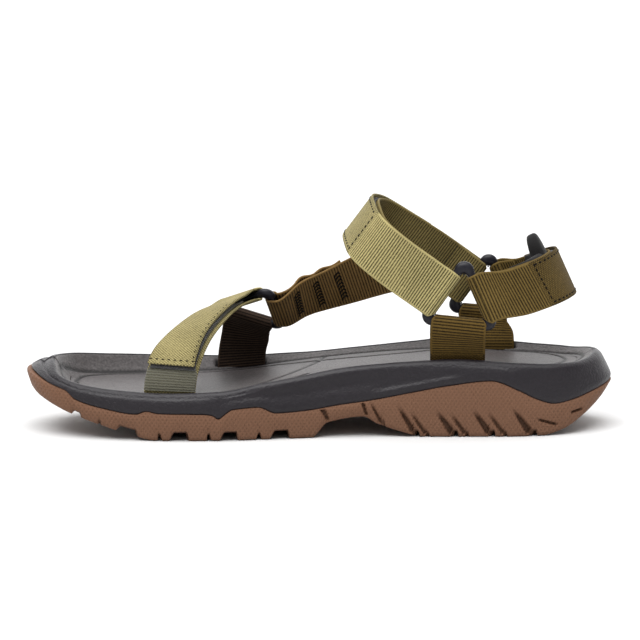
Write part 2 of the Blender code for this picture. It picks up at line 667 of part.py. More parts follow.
def toe_base():
    """Layer over the toes, from the front ring's front bar to the medial slot."""
    bar = ring_bars(FRONT_RING)[1][2, 0]
    top, along = tail_top("toe", 0)
    stops = leave(bar, TOE_LEAVE, run=2.0) + [
        ((-45.0, 11.0, 57.0), (-0.77, 0.56, -0.32)), ((-50.2, 2.0, 55.6), (-0.8, 0.53, -0.3)),
        ((-57.8, -13.0, 51.0), (-0.83, 0.52, -0.22)), ((-65.2, -25.6, 44.2), (-0.89, 0.4, -0.12)),
        ((-70.2, -34.2, 36.8), (-0.97, 0.18, 0.04)), ((-72.6, -39.0, 28.5), (-0.99, 0, 0.08)), (top, -along)]
    return smooth_path(stops, 3.5)


def tail_turn(bar, base, length):
    """Wrap round a lateral bar and a sewn tail on the foot side, as one path after the base."""
    arc = wrap(bar, 90, -90)
    arc = (arc[0], arc[1] * (1 if np.dot(arc[1][0], base[1][-1]) > 0 else -1))
    back = reverse(part_of(base, distance(base)[-1] - length, distance(base)[-1], 3.0))
    along = distance(back)
    near = np.clip(1 - along / length, 0, 1)
    ease = near * near * (3 - 2 * near)
    sewn = WEB_THICKNESS + GAP
    back = offset(back, sewn + (2 * WRAP_RADIUS - sewn) * ease, -1)
    return join(arc, (back[0][1:], back[1][1:]))


def patch(name, stretch, out, colour):
    """Hook or loop patch over a stretch of a strap's path."""
    strap(name, narrowed(offset(stretch, out, -1), PATCH_WIDTH / 2), PATCH_THICKNESS, colour)


def make_instep_strap():
    """Instep strap, its two-part flap and its hook and loop patches."""
    bar = ring_bars(MEDIAL_RING)[1][0, 1]
    far = ring_bars(LATERAL_RING)[1][0, 1]
    base = instep_base()
    start = wrap(bar, 45, -90, INSTEP_SHIFT)
    strap("instep_strap", join(start, base, tail_turn(far, base, INSTEP_TAIL)), WEB_THICKNESS, LIGHT_OLIVE)
    patch("instep_loop_patch", part_of(base, *INSTEP_LOOPS, 4.5), LOOP_PATCH_OFFSET, NYLON_BLACK)
    flap = flap_path(base, -1)
    strap("instep_flap_root", part_of(flap, 0, INSTEP_PEEL - FOLD_GAP), WEB_THICKNESS, LIGHT_OLIVE)
    tip = part_of(flap, INSTEP_PEEL + FOLD_GAP, INSTEP_FLAP, 4.5)
    strap("instep_flap_tip", tip, WEB_THICKNESS, LIGHT_OLIVE)
    hooks = part_of(base, INSTEP_PEEL + 1, INSTEP_LOOPS[1] - HOOK_MARGIN, 4.5)
    patch("instep_hook_patch", hooks, HOOK_PATCH_OFFSET, NYLON_BLACK)


def make_heel_strap():
    """Heel strap, its two-part flap and its hook and loop patches."""
    bar = ring_bars(MEDIAL_RING)[1][2, 0]
    far = ring_bars(LATERAL_RING)[1][2, 0]
    base = heel_base()
    start = wrap(bar, 45, -90, HEEL_SHIFT)
    strap("heel_strap", join(start, base, tail_turn(far, base, HEEL_TAIL)), WEB_THICKNESS, BROWN_OLIVE)
    patch("heel_loop_patch", part_of(base, *HEEL_LOOPS, 4.5), LOOP_PATCH_OFFSET, NYLON_BLACK)
    flap = flap_path(base, -1)
    strap("heel_flap_root", part_of(flap, 0, HEEL_PEEL - FOLD_GAP), WEB_THICKNESS, BROWN_OLIVE)
    strap("heel_flap_tip", part_of(flap, HEEL_PEEL + FOLD_GAP, HEEL_FLAP, 4.5), WEB_THICKNESS, BROWN_OLIVE)
    hooks = part_of(base, HEEL_PEEL + 1, HEEL_LOOPS[1] - HOOK_MARGIN, 4.5)
    patch("heel_hook_patch", hooks, HOOK_PATCH_OFFSET, NYLON_BLACK)


def make_toe_strap():
    """Toe strap from the medial slot to the front ring, with its flap and patches."""
    bar = ring_bars(FRONT_RING)[1][2, 0]
    base = toe_base()
    start = wrap(bar, 0, TOE_LEAVE)
    below = tail("toe", 0)
    strap("toe_strap", join(start, base, (below[0][1:], -below[1][1:])), WEB_THICKNESS, LIGHT_OLIVE)
    loops = part_of(base, TOE_LOOPS_START, distance(base)[-1] - 4, 3.5)
    patch("toe_loop_patch", loops, LOOP_PATCH_OFFSET, PATCH_GREEN)
    flap = flap_path(base, -1)
    strap("toe_flap", part_of(flap, 0, TOE_FLAP), WEB_THICKNESS, LIGHT_OLIVE)
    hooks = part_of(base, TOE_LOOPS_START + 8, TOE_FLAP - HOOK_MARGIN, 3.5)
    patch("toe_hook_patch", hooks, HOOK_PATCH_OFFSET, NYLON_BLACK)


# ---------------------------------------------------------------- connecting strap
def connecting_base():
    """Foot-side layer from the front ring's rear bar to the instep strap's lateral leg."""
    bar = ring_bars(FRONT_RING)[1][0, 1]
    stops = leave(bar, -90) + [
        ((-9.0, 26.0, 59.4), (-0.14, -0.62, 0.77)), ((2.0, 28.9, 62.9), (-0.26, -0.56, 0.79)),
        ((14.0, 30.6, 67.3), (-0.3, -0.38, 0.87)), ((27.0, 30.8, 72.2), (-0.3, -0.16, 0.94)),
        ((38.0, 30.5, 75.5), (-0.3, 0, 0.95)), ((47.0, 30.4, 78.2), (-0.3, 0, 0.95))]
    return smooth_path(stops, 4.0)


def make_connecting_strap():
    """Connecting strap: sewn to the instep strap, round the front ring and back over itself in waves."""
    bar = ring_bars(FRONT_RING)[1][0, 1]
    base = connecting_base()
    arc = wrap(bar, 90, -90)
    layer = part_of(base, 0, OUTER_LAYER, 2.5)
    along = distance(layer)
    near = np.clip(1 - along / TACKS[0], 0, 1)
    ring_side = (2 * WRAP_RADIUS - WEB_THICKNESS - GAP) * near * near * (3 - 2 * near)
    pitch = TACKS[1] - TACKS[0]
    wave = np.where(along > TACKS[0], WAVE * np.sin(np.pi * (along - TACKS[0]) / pitch) ** 2, 0)
    outer = offset(layer, WEB_THICKNESS + GAP + ring_side + wave, -1)
    strap("connecting_strap", join(reverse(outer), arc, base), WEB_THICKNESS, DARK_OLIVE)
    for number, place in enumerate(TACKS, 1):
        stretch = part_of(base, place - TACK_WIDTH / 2, place + TACK_WIDTH / 2)
        face = offset(stretch, (WEB_THICKNESS + TACK_THICKNESS) / 2 + GAP, 1)
        strap(f"bartack_{number}", narrowed(face, TACK_HALF), TACK_THICKNESS, NYLON_BLACK)


# ---------------------------------------------------------------- heel pad
def make_heel_pad():
    """Padded lining inside the heel strap, with a domed tab over the middle of the heel."""
    path = part_of(heel_base(), PAD_START, PAD_END, 3.2)
    along = distance(path) / distance(path)[-1]
    thick = PAD_THICKNESS[0] + (PAD_THICKNESS[1] - PAD_THICKNESS[0]) * np.sin(np.pi * along) ** 2
    face = unit(np.cross(np.gradient(path[0], axis=0), path[1]))
    up = -unit(path[1])
    aside = np.abs(path[0][:, 1]) / TAB_HALF
    rise = TAB_RISE * np.clip(1 - aside ** 2, 0, 1)
    end = np.minimum(1, np.sin(np.pi * np.clip(along, 0.012, 0.988)) * 5)
    angles = np.linspace(0, 2 * math.pi, PAD_SIDES, endpoint=False)
    clear = WEB_THICKNESS / 2 + GAP
    rings = []
    for angle in angles:
        high = np.sign(math.sin(angle)) * abs(math.sin(angle)) ** 0.6
        deep = 0.5 + 0.5 * np.sign(math.cos(angle)) * abs(math.cos(angle)) ** 0.6
        reach = high * PAD_HALF * end + (rise if high > 0.9 else rise * 0.55 if high > 0.5 else 0)
        rings.append(path[0] + face * (clear + thick * deep)[:, None] + up * reach[:, None])
    count = len(along)
    sides = len(rings)
    faces = []
    for r in range(sides):
        s = (r + 1) % sides
        for k in range(count - 1):
            faces.append((r * count + k, r * count + k + 1, s * count + k + 1, s * count + k))
    faces.append([r * count for r in range(sides)])
    faces.append([r * count + count - 1 for r in reversed(range(sides))])
    mesh_object("heel_pad", np.vstack(rings), faces, NYLON_BLACK, 0.9, weld=True)


# ---------------------------------------------------------------- moving pieces
def make_pivot(name, place, axis, names, parent=None):
    """Empty on a joint's axis, its Z along the axis, that carries the named parts."""
    pivot = bpy.data.objects.new(name, None)
    pivot.empty_display_size = PIVOT_SIZE * MM
    PARTS.objects.link(pivot)
    turn = Vector((0, 0, 1)).rotation_difference(Vector(axis)).to_matrix().to_4x4()
    stance = Matrix.Translation(row(place)) @ turn
    pivot.matrix_basis = stance
    if parent:
        pivot.parent = parent
        pivot.matrix_parent_inverse = parent.matrix_basis.inverted()
    for part_name in names:
        part = bpy.data.objects[part_name]
        part.parent = pivot
        part.matrix_parent_inverse = stance.inverted()
    return pivot


def fold_place(base, length):
    """Where the tip of a flap folds: on the flap's outer face, and the width direction there."""
    place, half = offset(part_of(base, length - 1, length + 1, 1.0), FLAP_SPACING + WEB_THICKNESS / 2 + GAP, -1)
    return place[1], unit(half[1])


def make_pivots():
    """Pivots of the three flaps: each turns about its ring's bar, and two have a tip that peels first."""
    _, medial = ring_bars(MEDIAL_RING)
    for name, bar, base, peel in (("instep", medial[0, 1], instep_base(), INSTEP_PEEL),
                                  ("heel", medial[2, 0], heel_base(), HEEL_PEEL)):
        root = make_pivot(name + "_root_pivot", bar["middle"], bar["axis"], [name + "_flap_root"])
        place, axis = fold_place(base, peel)
        make_pivot(name + "_tip_pivot", place, axis, [name + "_flap_tip", name + "_hook_patch"], root)
    bar = ring_bars(FRONT_RING)[1][2, 0]
    make_pivot("toe_pivot", bar["middle"], bar["axis"], ["toe_flap", "toe_hook_patch"])


# ---------------------------------------------------------------- the sandal
make_outsole()
make_midsole()
shank_strip("shank", SHANK_DROP, SHANK_THICKNESS, 0.0)
make_topsole()
make_ring("medial_ring", MEDIAL_RING)
make_ring("lateral_ring", LATERAL_RING)
make_ring("front_ring", FRONT_RING)
make_anchors()
make_toe_strap()
make_instep_strap()
make_heel_strap()
make_connecting_strap()
make_heel_pad()
make_pivots()
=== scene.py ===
"""Strappy sport sandal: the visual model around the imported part, laid out as a Blender add-on.

Frame: toe towards -X, heel towards +X, medial (inner) side -Y, lateral side +Y, +Z up.  Lengths in
the code are in millimetres, with Y measured from the line through the toe and the heel; place()
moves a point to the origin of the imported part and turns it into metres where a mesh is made.
"""
import math

import bmesh
import bpy
import numpy as np
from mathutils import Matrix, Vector


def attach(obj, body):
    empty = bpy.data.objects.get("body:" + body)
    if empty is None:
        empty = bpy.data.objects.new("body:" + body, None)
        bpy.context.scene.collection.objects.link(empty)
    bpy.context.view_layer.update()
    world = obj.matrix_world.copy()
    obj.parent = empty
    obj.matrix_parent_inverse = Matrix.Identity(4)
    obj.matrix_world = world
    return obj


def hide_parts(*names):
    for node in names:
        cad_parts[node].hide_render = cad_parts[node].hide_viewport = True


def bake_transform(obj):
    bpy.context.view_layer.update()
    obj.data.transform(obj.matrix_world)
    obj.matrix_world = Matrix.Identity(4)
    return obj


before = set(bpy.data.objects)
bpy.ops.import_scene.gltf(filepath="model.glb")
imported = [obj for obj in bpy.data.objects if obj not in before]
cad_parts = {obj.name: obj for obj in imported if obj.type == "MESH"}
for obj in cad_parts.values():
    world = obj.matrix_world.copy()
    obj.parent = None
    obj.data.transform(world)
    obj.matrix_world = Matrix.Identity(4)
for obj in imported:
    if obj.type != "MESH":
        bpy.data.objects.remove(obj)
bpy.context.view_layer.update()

bl_info = {
    "name": "Strappy sport sandal",
    "version": (1, 0, 0),
    "blender": (4, 5, 0),
    "location": "3D View > Sidebar > Sandal",
    "description": "Builds a strappy sport sandal with peel-back webbing straps",
    "category": "Object",
}

MM = 0.001
ORIGIN = (0.0, 2.25, 0.0)        # the middle of the footprint
FLOOR_GREY = (0.66, 0.66, 0.66)  # pale enough to read as white under the top light
STAGE_HALF = 9000                # half the floor's width, and its depth in front
STAGE_BACK = 6000                # distance and height of the wall behind
LIGHTS = (("top_light", (-0.14, -0.3, 1.0), 4.0, 60), ("rim_light", (0.5, 0.9, 0.9), 0.4, 40))
CAMERA_PLACE = (0.0, -1.0828, 0.2061)
CAMERA_TILT = 79.2               # degrees up from looking straight down
CAMERA_LENS = 122.5
CAMERA_SHIFT = 0.1605
WAVE_SCALE = 0.314               # a wave texture's scale for bands one unit apart

# ---------------------------------------------------------------- dimensions shared with the part (mm)
SOLE_LENGTH = 292.0
PATCH_WIDTH = 22.0
PATCH_THICKNESS = 0.8
GAP = 0.3
FLOOR_GAP = 0.6
POCKET_FLOOR = 3.9               # the seat is lowered so that the webbing tails under it have room
RING_SIDE_RADIUS = 20.2
RING_BAR_RADIUS = 1.9
RING_FILLET = 3.0
END_LEAN = (5.6, 3.6)
TOE_TUCK = 2.4                   # how far the foam stands back from the rubber at the toe
SEAM_INSET = 5.6
DISH = ((1.8, 0.72), (4.5, 0.34), (7.6, 0.1))
SLOT_LENGTH = 27.0
SLOT_WIDTH = 3.7
SLOT_PLACES = (("toe", -73, True, 9.2), ("front", -41.2, False, 9.2), ("medial", 67.1, True, 9.2),
               ("lateral", 87.4, False, 10.2))
ANCHOR_RUN = 3.0
TAIL_LENGTH = 13.0
WEB_WIDTH = 25.0
WEB_THICKNESS = 1.2
FACE_HALF = 12.5
SQUEEZED_HALF = 10.6
INSTEP_SHIFT = -2.6
HEEL_SHIFT = 2.8
BAR_RELIEF = 14.0
LEAVE_RUN = 4.5
TOE_LEAVE = -60.0
INSTEP_PEEL = 50.0
INSTEP_FLAP = 138.0
INSTEP_LOOPS = (12.0, 124.0)
INSTEP_TAIL = 16.0
HEEL_PEEL = 28.0
HEEL_FLAP = 98.0
HEEL_LOOPS = (12.0, 92.0)
HEEL_TAIL = 14.0
TOE_FLAP = 76.0
TOE_LOOPS_START = 14.0
HOOK_MARGIN = 3.0
TACKS = (14.0, 26.0, 38.0)
TACK_HALF = 8.5
OUTER_LAYER = 42.0
WAVE = 1.7
PAD_START = 17.0
PAD_END = 88.0
PAD_THICKNESS = (1.8, 8.6)
PAD_HALF = 12.6
TAB_RISE = 9.8
TAB_HALF = 10.5

WRAP_RADIUS = RING_BAR_RADIUS + GAP + WEB_THICKNESS / 2
FLAP_SPACING = WEB_THICKNESS + 2 * PATCH_THICKNESS + 3 * GAP
LOOP_PATCH_OFFSET = WEB_THICKNESS / 2 + GAP + PATCH_THICKNESS / 2
HOOK_PATCH_OFFSET = LOOP_PATCH_OFFSET + PATCH_THICKNESS + GAP

# Sole outline, half-breadths along X (toe to heel), and heights along X as (x, z) pairs.
OUTLINE_X = (-146, -144, -138, -128, -110, -90, -70, -50, -25, 5, 35, 65, 90, 110, 125, 137, 144, 146)
MEDIAL_Y = (-6, -17, -28, -36.5, -43.5, -47.5, -49.5, -49, -45, -40, -38.2, -38.5, -38.2, -35.5, -30, -20.5,
            -10, 0)
LATERAL_Y = (-6, 5, 14, 23, 33, 42.5, 49.5, 53.5, 54, 50, 45.5, 41.5, 39.5, 35.5, 29.5, 20.5, 10, 0)
RIM_MEDIAL = ((-146, 34.5), (-132, 29.6), (-117, 26), (-101, 24.2), (-75, 23), (-47, 23.8), (-27, 27.3),
              (-7, 30.6), (10, 33.8), (27, 35.6), (48, 37.2), (66, 38), (97, 36), (115, 35.2), (130, 35.4),
              (146, 38))
RIM_LATERAL = ((-146, 35.2), (-132, 33.5), (-110, 31.1), (-80, 28.5), (-47, 26.9), (-10, 28.8), (20, 32.4),
               (50, 36.2), (66, 38), (97, 37), (115, 36.1), (130, 36), (146, 38.2))
INTERFACE = ((-146, 30), (-134, 26), (-124, 23), (-119, 18.8), (-106, 15.2), (-89, 12.7), (-84, 14.2),
             (-78, 13.2), (-56, 12.8), (-52, 12.2), (-49, 10.5), (-46, 12.6), (-42, 15), (-30, 15.8),
             (-21, 12.6), (-7, 13.4), (10, 16), (25, 18), (45, 21.8), (62, 25), (83, 27.4), (97, 22.4),
             (106, 18), (115, 15.6), (124, 17), (133, 19.6), (146, 23.4))
BOTTOM = ((-146, 25.5), (-142, 20.8), (-135, 17), (-120, 11), (-106, 6.6), (-90, 2), (-80, 0), (-4, 0),
          (4, 7.4), (21, 10), (28, 6.4), (39, 2.6), (50, 0), (108, 0), (120, 2.7), (129, 7.8), (137, 13.6),
          (146, 21.5))
FOOTBED = ((-146, 29.5), (-135, 26), (-120, 22.4), (-100, 20.6), (-80, 19.6), (-60, 19.6), (-40, 21),
           (-20, 24), (0, 27.2), (20, 29.8), (40, 31.8), (60, 33), (80, 33.2), (100, 32.6), (120, 32.6),
           (146, 35))
RUBBER = ((-146, 2.4), (-120, 3.5), (-100, 5.5), (120, 5.5), (146, 4))
TOPSOLE = ((-146, 3), (-120, 4.2), (-100, 6), (146, 6))

MEDIAL_RING = dict(centre=(68.1, -35.0, 65.8), normal=(0, -0.993, 0.115), across=(1, 0, 0), first=84, turn=1)
LATERAL_RING = dict(centre=(85.2, 34.5, 62.0), normal=(0, 0.993, 0.115), across=(1, 0, 0), first=85, turn=-1)
FRONT_RING = dict(centre=(-32.6, 26.8, 54.5), normal=(0.139, 0.614, 0.776), across=(0.335, -0.786, 0.519),
                  first=0, turn=1)

# Tread grooves across the underside: (x, width, depth, wall), the wall being the run of its toe side.
FORE_GROOVES = ((-118, 4, 2.2, 2), (-107.5, 1.6, 1.8, 0.5), (-93.5, 8, 3, 3.4), (-79, 1.8, 3, 0.5),
                (-68.5, 7, 4, 3), (-55, 1.8, 3, 0.5), (-44, 6.5, 4, 3), (-30, 1.8, 3, 0.5), (-18.6, 7, 4, 3))
# Slanted heel grooves: (x at the medial edge, width, depth, height up the side).
HEEL_GROOVES = ((31, 1.5, 2.4, 10), (47, 3.0, 2.6, 13.5), (52.6, 1.4, 2.2, 12.5), (66, 3.0, 2.8, 14),
                (71.9, 1.4, 2.2, 12.5), (84, 3.0, 2.8, 14.5), (90.6, 1.4, 2.2, 13), (104, 3.2, 2.6, 15))
HEEL_SLANT = 0.42                # run of a heel groove along X for its run along Y
HEEL_EDGE = -38                  # y of the medial edge, from which the slant is counted
SLASH_LEAN = 0.72                # and for its rise up the side
# Short slashes in the side of the heel: (x, z, half length, lean), and cuts over the whole side.
SLASHES = ((111.5, 6.9, 5.8, 1.7), (126.3, 11.7, 3.6, -0.8))
SIDE_CUTS = ((4.4, 0.45), (23.2, 0.45))
CHANNELS = ((-100, -8, -16), (-100, -8, 18))
CHANNEL_WIDTH = 4.0
CHANNEL_DEPTH = 3.0
ANCHOR_SPREAD = 1.07             # how much wider the medial anchor lies than its webbing


def linear(code):
    """Linear RGB of an sRGB hex code."""
    srgb = np.array([int(code[k:k + 2], 16) for k in (1, 3, 5)]) / 255
    return tuple(np.where(srgb <= 0.04045, srgb / 12.92, ((srgb + 0.055) / 1.055) ** 2.4))


# ---------------------------------------------------------------- properties
def size(name, default, description):
    """A length in metres, given in millimetres."""
    return bpy.props.FloatProperty(name=name, default=default * MM, min=0.0, precision=5, unit="LENGTH",
                                   description=description)


def colour(name, code, description):
    """A colour given as an sRGB hex code."""
    return bpy.props.FloatVectorProperty(name=name, default=linear(code), min=0.0, max=1.0, size=3,
                                         subtype="COLOR", description=description)


class SandalSizes(bpy.types.PropertyGroup):
    """Sizes that change how the sandal's surfaces are made."""
    rib_pitch: size("Instep rib pitch", 1.32, "Distance between the ribs of the instep and toe webbing")
    heel_rib_pitch: size("Heel rib pitch", 1.45, "Distance between the ribs of the heel webbing and anchors")
    rib_height: size("Rib height", 0.36, "Height of a webbing rib above the groove beside it")
    weave_pitch: size("Weave pitch", 1.15, "Distance between the crossings of the fine weave")
    stitch_length: size("Stitch length", 1.9, "Length of one stitch that shows")
    groove_width: size("Footbed groove width", 1.7, "Width of the lines pressed into the footbed")
    groove_depth: size("Footbed groove depth", 0.9, "Depth of the lines pressed into the footbed")
    corner_swell: size("Ring corner swell", 1.0, "How much thicker a ring is at its corners")


class SandalColours(bpy.types.PropertyGroup):
    """Colours of the sandal's finishes."""
    light_olive: colour("Light olive", "#A49868", "Instep and toe webbing")
    # A darker copy of the light olive, the same webbing as the flap: painted shade on the instep strap's base
    # layer.
    shaded_inner_olive: colour("Inner olive", "#71643D", "Layer of the instep strap that lies next to the foot")
    heel_olive: colour("Brown olive", "#64522B", "Heel webbing")
    anchor_olive: colour("Anchor olive", "#584520", "Webbing of the medial and lateral anchors")
    dark_olive: colour("Dark olive", "#745B36", "Connecting strap")
    front_brown: colour("Front brown", "#392D25", "Front anchor")
    patch_green: colour("Patch green", "#4F4D3F", "Loop pile of the toe strap")
    patch_black: colour("Patch black", "#1B1A1A", "Hook tape and the other loop pile")
    rubber: colour("Rubber", "#6C4E3C", "Outsole")
    foam: colour("Foam", "#1C181D", "Midsole")
    # Lighter than the midsole's foam; part of that is painted light, standing for the top light that falls on
    # the footbed.
    footbed: colour("Footbed", "#494545", "Top of the footbed")
    nylon: colour("Nylon", "#16151D", "Moulded rings and the shank")
    lining: colour("Lining", "#171616", "Padded lining of the heel")
    thread: colour("Thread", "#0B0906", "Stitching and bartacks")


# ---------------------------------------------------------------- plain mathematics
def place(points):
    """Points in metres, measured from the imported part's origin."""
    return (np.asarray(points, float) - ORIGIN) * MM


def unit(vector):
    """Vector(s) of length one."""
    vector = np.asarray(vector, float)
    return vector / np.linalg.norm(vector, axis=-1, keepdims=True)


def ease(share):
    """Smooth step: three squares less two cubes of the share, held between 0 and 1."""
    share = np.clip(share, 0, 1)
    return share * share * (3 - 2 * share)


def hermite(x, xs, ys, slopes):
    """Cubic curve through the points (xs, ys) with the given slopes there."""
    k = np.clip(np.searchsorted(xs, x) - 1, 0, len(xs) - 2)
    h = xs[k + 1] - xs[k]
    t = np.clip((x - xs[k]) / h, 0, 1)
    spread = (slice(None),) + (None,) * (ys.ndim - 1)
    h, t = h[spread], t[spread]
    start = (1 + 2 * t) * (1 - t) ** 2 * ys[k] + t * (1 - t) ** 2 * h * slopes[k]
    end = t * t * (3 - 2 * t) * ys[k + 1] - t * t * (1 - t) * h * slopes[k + 1]
    return start + end


def level(pairs, x):
    """Curve through (x, z) pairs that never overshoots them, so flats stay flat."""
    xs, ys = (np.array(column, float) for column in zip(*pairs))
    secant = np.diff(ys) / np.diff(xs)
    before, after = secant[:-1], secant[1:]
    same_way = before * after > 0
    middle = np.where(same_way, 2 * before * after / np.where(same_way, before + after, 1), 0)
    slopes = np.concatenate(([secant[0]], middle, [secant[-1]]))
    x = np.atleast_1d(np.asarray(x, float))
    return hermite(x.ravel(), xs, ys, slopes).reshape(x.shape)


# ---------------------------------------------------------------- meshes
def volume_sign(points, quads):
    """Sign of the volume inside quads: the sum over their triangles of a . (b x c)."""
    a, b, c, d = (points[quads[:, k]] for k in range(4))
    return np.sign(np.sum(a * np.cross(b, c)) + np.sum(a * np.cross(c, d)))


def make_piece(name, points, faces, finish, uv=None, values=None, weld=False, smooth=40):
    """Object at the origin from points in millimetres and arrays of faces; values are per point."""
    mesh = bpy.data.meshes.new(name)
    mesh.from_pydata(place(points).tolist(), [], [face for block in faces for face in block])
    for key, value in (values or {}).items():
        layer = mesh.attributes.new(key, "FLOAT", "POINT")
        layer.data.foreach_set("value", np.ravel(value).astype(np.float32))
    if uv is not None:
        corner = np.empty(len(mesh.loops), int)
        mesh.loops.foreach_get("vertex_index", corner)
        layer = mesh.uv_layers.new(name="cloth")
        layer.data.foreach_set("uv", np.asarray(uv, np.float32).reshape(-1, 2)[corner].ravel())
    if weld:
        shape = bmesh.new()
        shape.from_mesh(mesh)
        bmesh.ops.remove_doubles(shape, verts=shape.verts, dist=0.000005)
        shape.to_mesh(mesh)
        shape.free()
    mesh.shade_smooth()
    if smooth < 180:
        mesh.set_sharp_from_angle(angle=math.radians(smooth))
    mesh.materials.append(finish)
    piece = bpy.data.objects.new(name, mesh)
    bpy.context.scene.collection.objects.link(piece)
    return piece


def grid_quads(rows, columns, closed_rows=False):
    """Quads of a grid whose columns close on themselves, and its rows too where asked."""
    row = np.arange(rows if closed_rows else rows - 1)[:, None]
    here = np.arange(columns)[None, :]
    after = (here + 1) % columns
    low, high = row * columns, (row + 1) % rows * columns
    return np.stack([low + here, low + after, high + after, high + here], axis=-1).reshape(-1, 4)


def tube(name, points, finish, uv=None, values=None, ring=False, smooth=40, weld=False, caps=True):
    """Closed surface over a grid (rows, columns, 3): columns go round, and rows run along it and are
    capped at both ends or, for a ring, meet again.  Faces are turned so that they point outwards."""
    rows, columns = points.shape[:2]
    quads = grid_quads(rows, columns, ring)
    flat = points.reshape(-1, 3)
    outward = volume_sign(flat - flat.mean(axis=0), quads) > 0
    if not outward:
        quads = quads[:, ::-1]
    faces = [quads.tolist()]
    if caps and not ring:
        first = list(range(columns))
        last = list(range((rows - 1) * columns, rows * columns))
        faces.append([first[::-1], last] if outward else [first, last[::-1]])
    return make_piece(name, flat, faces, finish, uv, values, weld, smooth)


# ---------------------------------------------------------------- finishes
def add(tree, kind, inputs=None, output=None, **settings):
    """New node with its settings; an input is a value or the socket that feeds it.  Gives back one of
    the node's outputs where it is named."""
    made = tree.nodes.new(kind)
    for key, value in settings.items():
        setattr(made, key, value)
    for key, value in (inputs or {}).items():
        if isinstance(value, bpy.types.NodeSocket):
            tree.links.new(value, made.inputs[key])
        else:
            made.inputs[key].default_value = value
    return made if output is None else made.outputs[output]


def new_finish(name, roughness, **sockets):
    """Material with a Principled shader; sockets are its even values, set on the shader itself."""
    material = bpy.data.materials.new(name)
    material.use_nodes = True
    tree = material.node_tree
    shader = tree.nodes["Principled BSDF"]
    shader.inputs["Roughness"].default_value = roughness
    for key, value in sockets.items():
        shader.inputs[key.replace("_", " ")].default_value = value
    return material, tree, shader


def shade(tint, share):
    """Colour with a share of its light, as RGBA."""
    return (*(np.array(tint[:]) * share), 1.0)


def weighted(tree, start, *shares, clamp=False):
    """Start plus each socket times its share; the whole sum is held between 0 and 1 where asked."""
    for number, (socket, share) in enumerate(shares, 1):
        start = add(tree, "ShaderNodeMath", {0: socket, 1: share, 2: start}, 0, operation="MULTIPLY_ADD",
                    use_clamp=clamp and number == len(shares))
    return start


def dress(tree, shader, tint, tone, dark, pale, height, strength, distance):
    """Give the shader a colour between two shares of a tint, by tone, and a bump by height."""
    mixed = add(tree, "ShaderNodeMix", {0: tone, 6: shade(tint, dark), 7: shade(tint, pale)}, 2,
                data_type="RGBA")
    tree.links.new(mixed, shader.inputs["Base Color"])
    bump = add(tree, "ShaderNodeBump", {"Height": height, "Strength": strength, "Distance": distance}, 0)
    tree.links.new(bump, shader.inputs["Normal"])


def crossed_bands(tree, spot, angle, axis, scale, operation, **wave):
    """Two sine bands turned either way by an angle in degrees about an axis, put together."""
    bands = []
    for turn in (math.radians(angle), math.radians(-angle)):
        rotation = [0.0, 0.0, 0.0]
        rotation[axis] = turn
        turned = add(tree, "ShaderNodeMapping", {"Vector": spot, "Rotation": rotation}, 0)
        bands.append(add(tree, "ShaderNodeTexWave", {"Vector": turned, "Scale": scale, **wave}, "Fac"))
    return add(tree, "ShaderNodeMath", {0: bands[0], 1: bands[1]}, 0, operation=operation)


def webbing(name, tint, pitch=None):
    """Woven polyester webbing: matt yarn in a fine diagonal weave, with painted shade in the grooves between
    ribs.
    """
    pitch = pitch or bpy.context.scene.sandal_sizes.weave_pitch / MM
    material, tree, shader = new_finish(name, 0.82, Sheen_Weight=0.02, Sheen_Roughness=0.5,
                                        Specular_IOR_Level=0.1)
    cloth = add(tree, "ShaderNodeUVMap", None, 0, uv_map="cloth")
    weave = crossed_bands(tree, cloth, 38, 2, WAVE_SCALE / pitch, "MULTIPLY",
                          **{"Distortion": 0.5, "Detail": 1.0, "Detail Scale": 1.5})
    rib, edge, plain = (add(tree, "ShaderNodeAttribute", None, "Fac", attribute_name=key)
                        for key in ("rib", "edge", "plain"))
    spot = add(tree, "ShaderNodeTexCoord", None, "Object")
    # Yarn lots differ a little over a few centimetres, and single fibres over half a millimetre.
    lots = add(tree, "ShaderNodeTexNoise", {"Vector": spot, "Scale": 60.0, "Detail": 2.0}, "Fac")
    fibre = add(tree, "ShaderNodeTexNoise", {"Vector": spot, "Scale": 1500.0, "Detail": 2.0}, "Fac")
    # The rib value darkens the colour down in the grooves between ribs: painted shade.
    steep = add(tree, "ShaderNodeMath", {0: rib, 1: 2.8}, 0, operation="POWER")
    ridge = weighted(tree, 0.0, (steep, 0.94))
    mesh = weighted(tree, 0.3, (weave, 0.75))
    tone = add(tree, "ShaderNodeMix", {0: plain, 2: ridge, 3: mesh}, 0, data_type="FLOAT")
    tone = weighted(tree, -0.55, (tone, 1.0), (lots, 0.3), (fibre, 0.8), (edge, -0.15), clamp=True)
    woven = add(tree, "ShaderNodeMath", {0: weave, 1: plain}, 0, operation="MULTIPLY")
    dress(tree, shader, tint, tone, 0.08, 1.25, weighted(tree, woven, (fibre, 0.6)), 0.55, 0.00035)
    return material


def pile(name, tint, rows=1.6):
    """Knitted loop pile or moulded hooks: fuzzy, in faint rows across the tape, rows millimetres apart."""
    material, tree, shader = new_finish(name, 0.95, Sheen_Weight=0.35, Sheen_Roughness=0.6,
                                        Specular_IOR_Level=0.15)
    cloth = add(tree, "ShaderNodeUVMap", None, 0, uv_map="cloth")
    wave = add(tree, "ShaderNodeTexWave", {"Vector": cloth, "Scale": WAVE_SCALE / rows, "Distortion": 1.2,
                                           "Detail": 2.0, "Detail Scale": 2.0}, "Fac")
    loops = add(tree, "ShaderNodeTexVoronoi", {"Vector": cloth, "Scale": 1.5}, "Distance")
    height = weighted(tree, 0.0, (wave, 0.7), (loops, 0.8))
    dress(tree, shader, tint, height, 0.6, 1.2, height, 0.8, 0.0005)
    return material


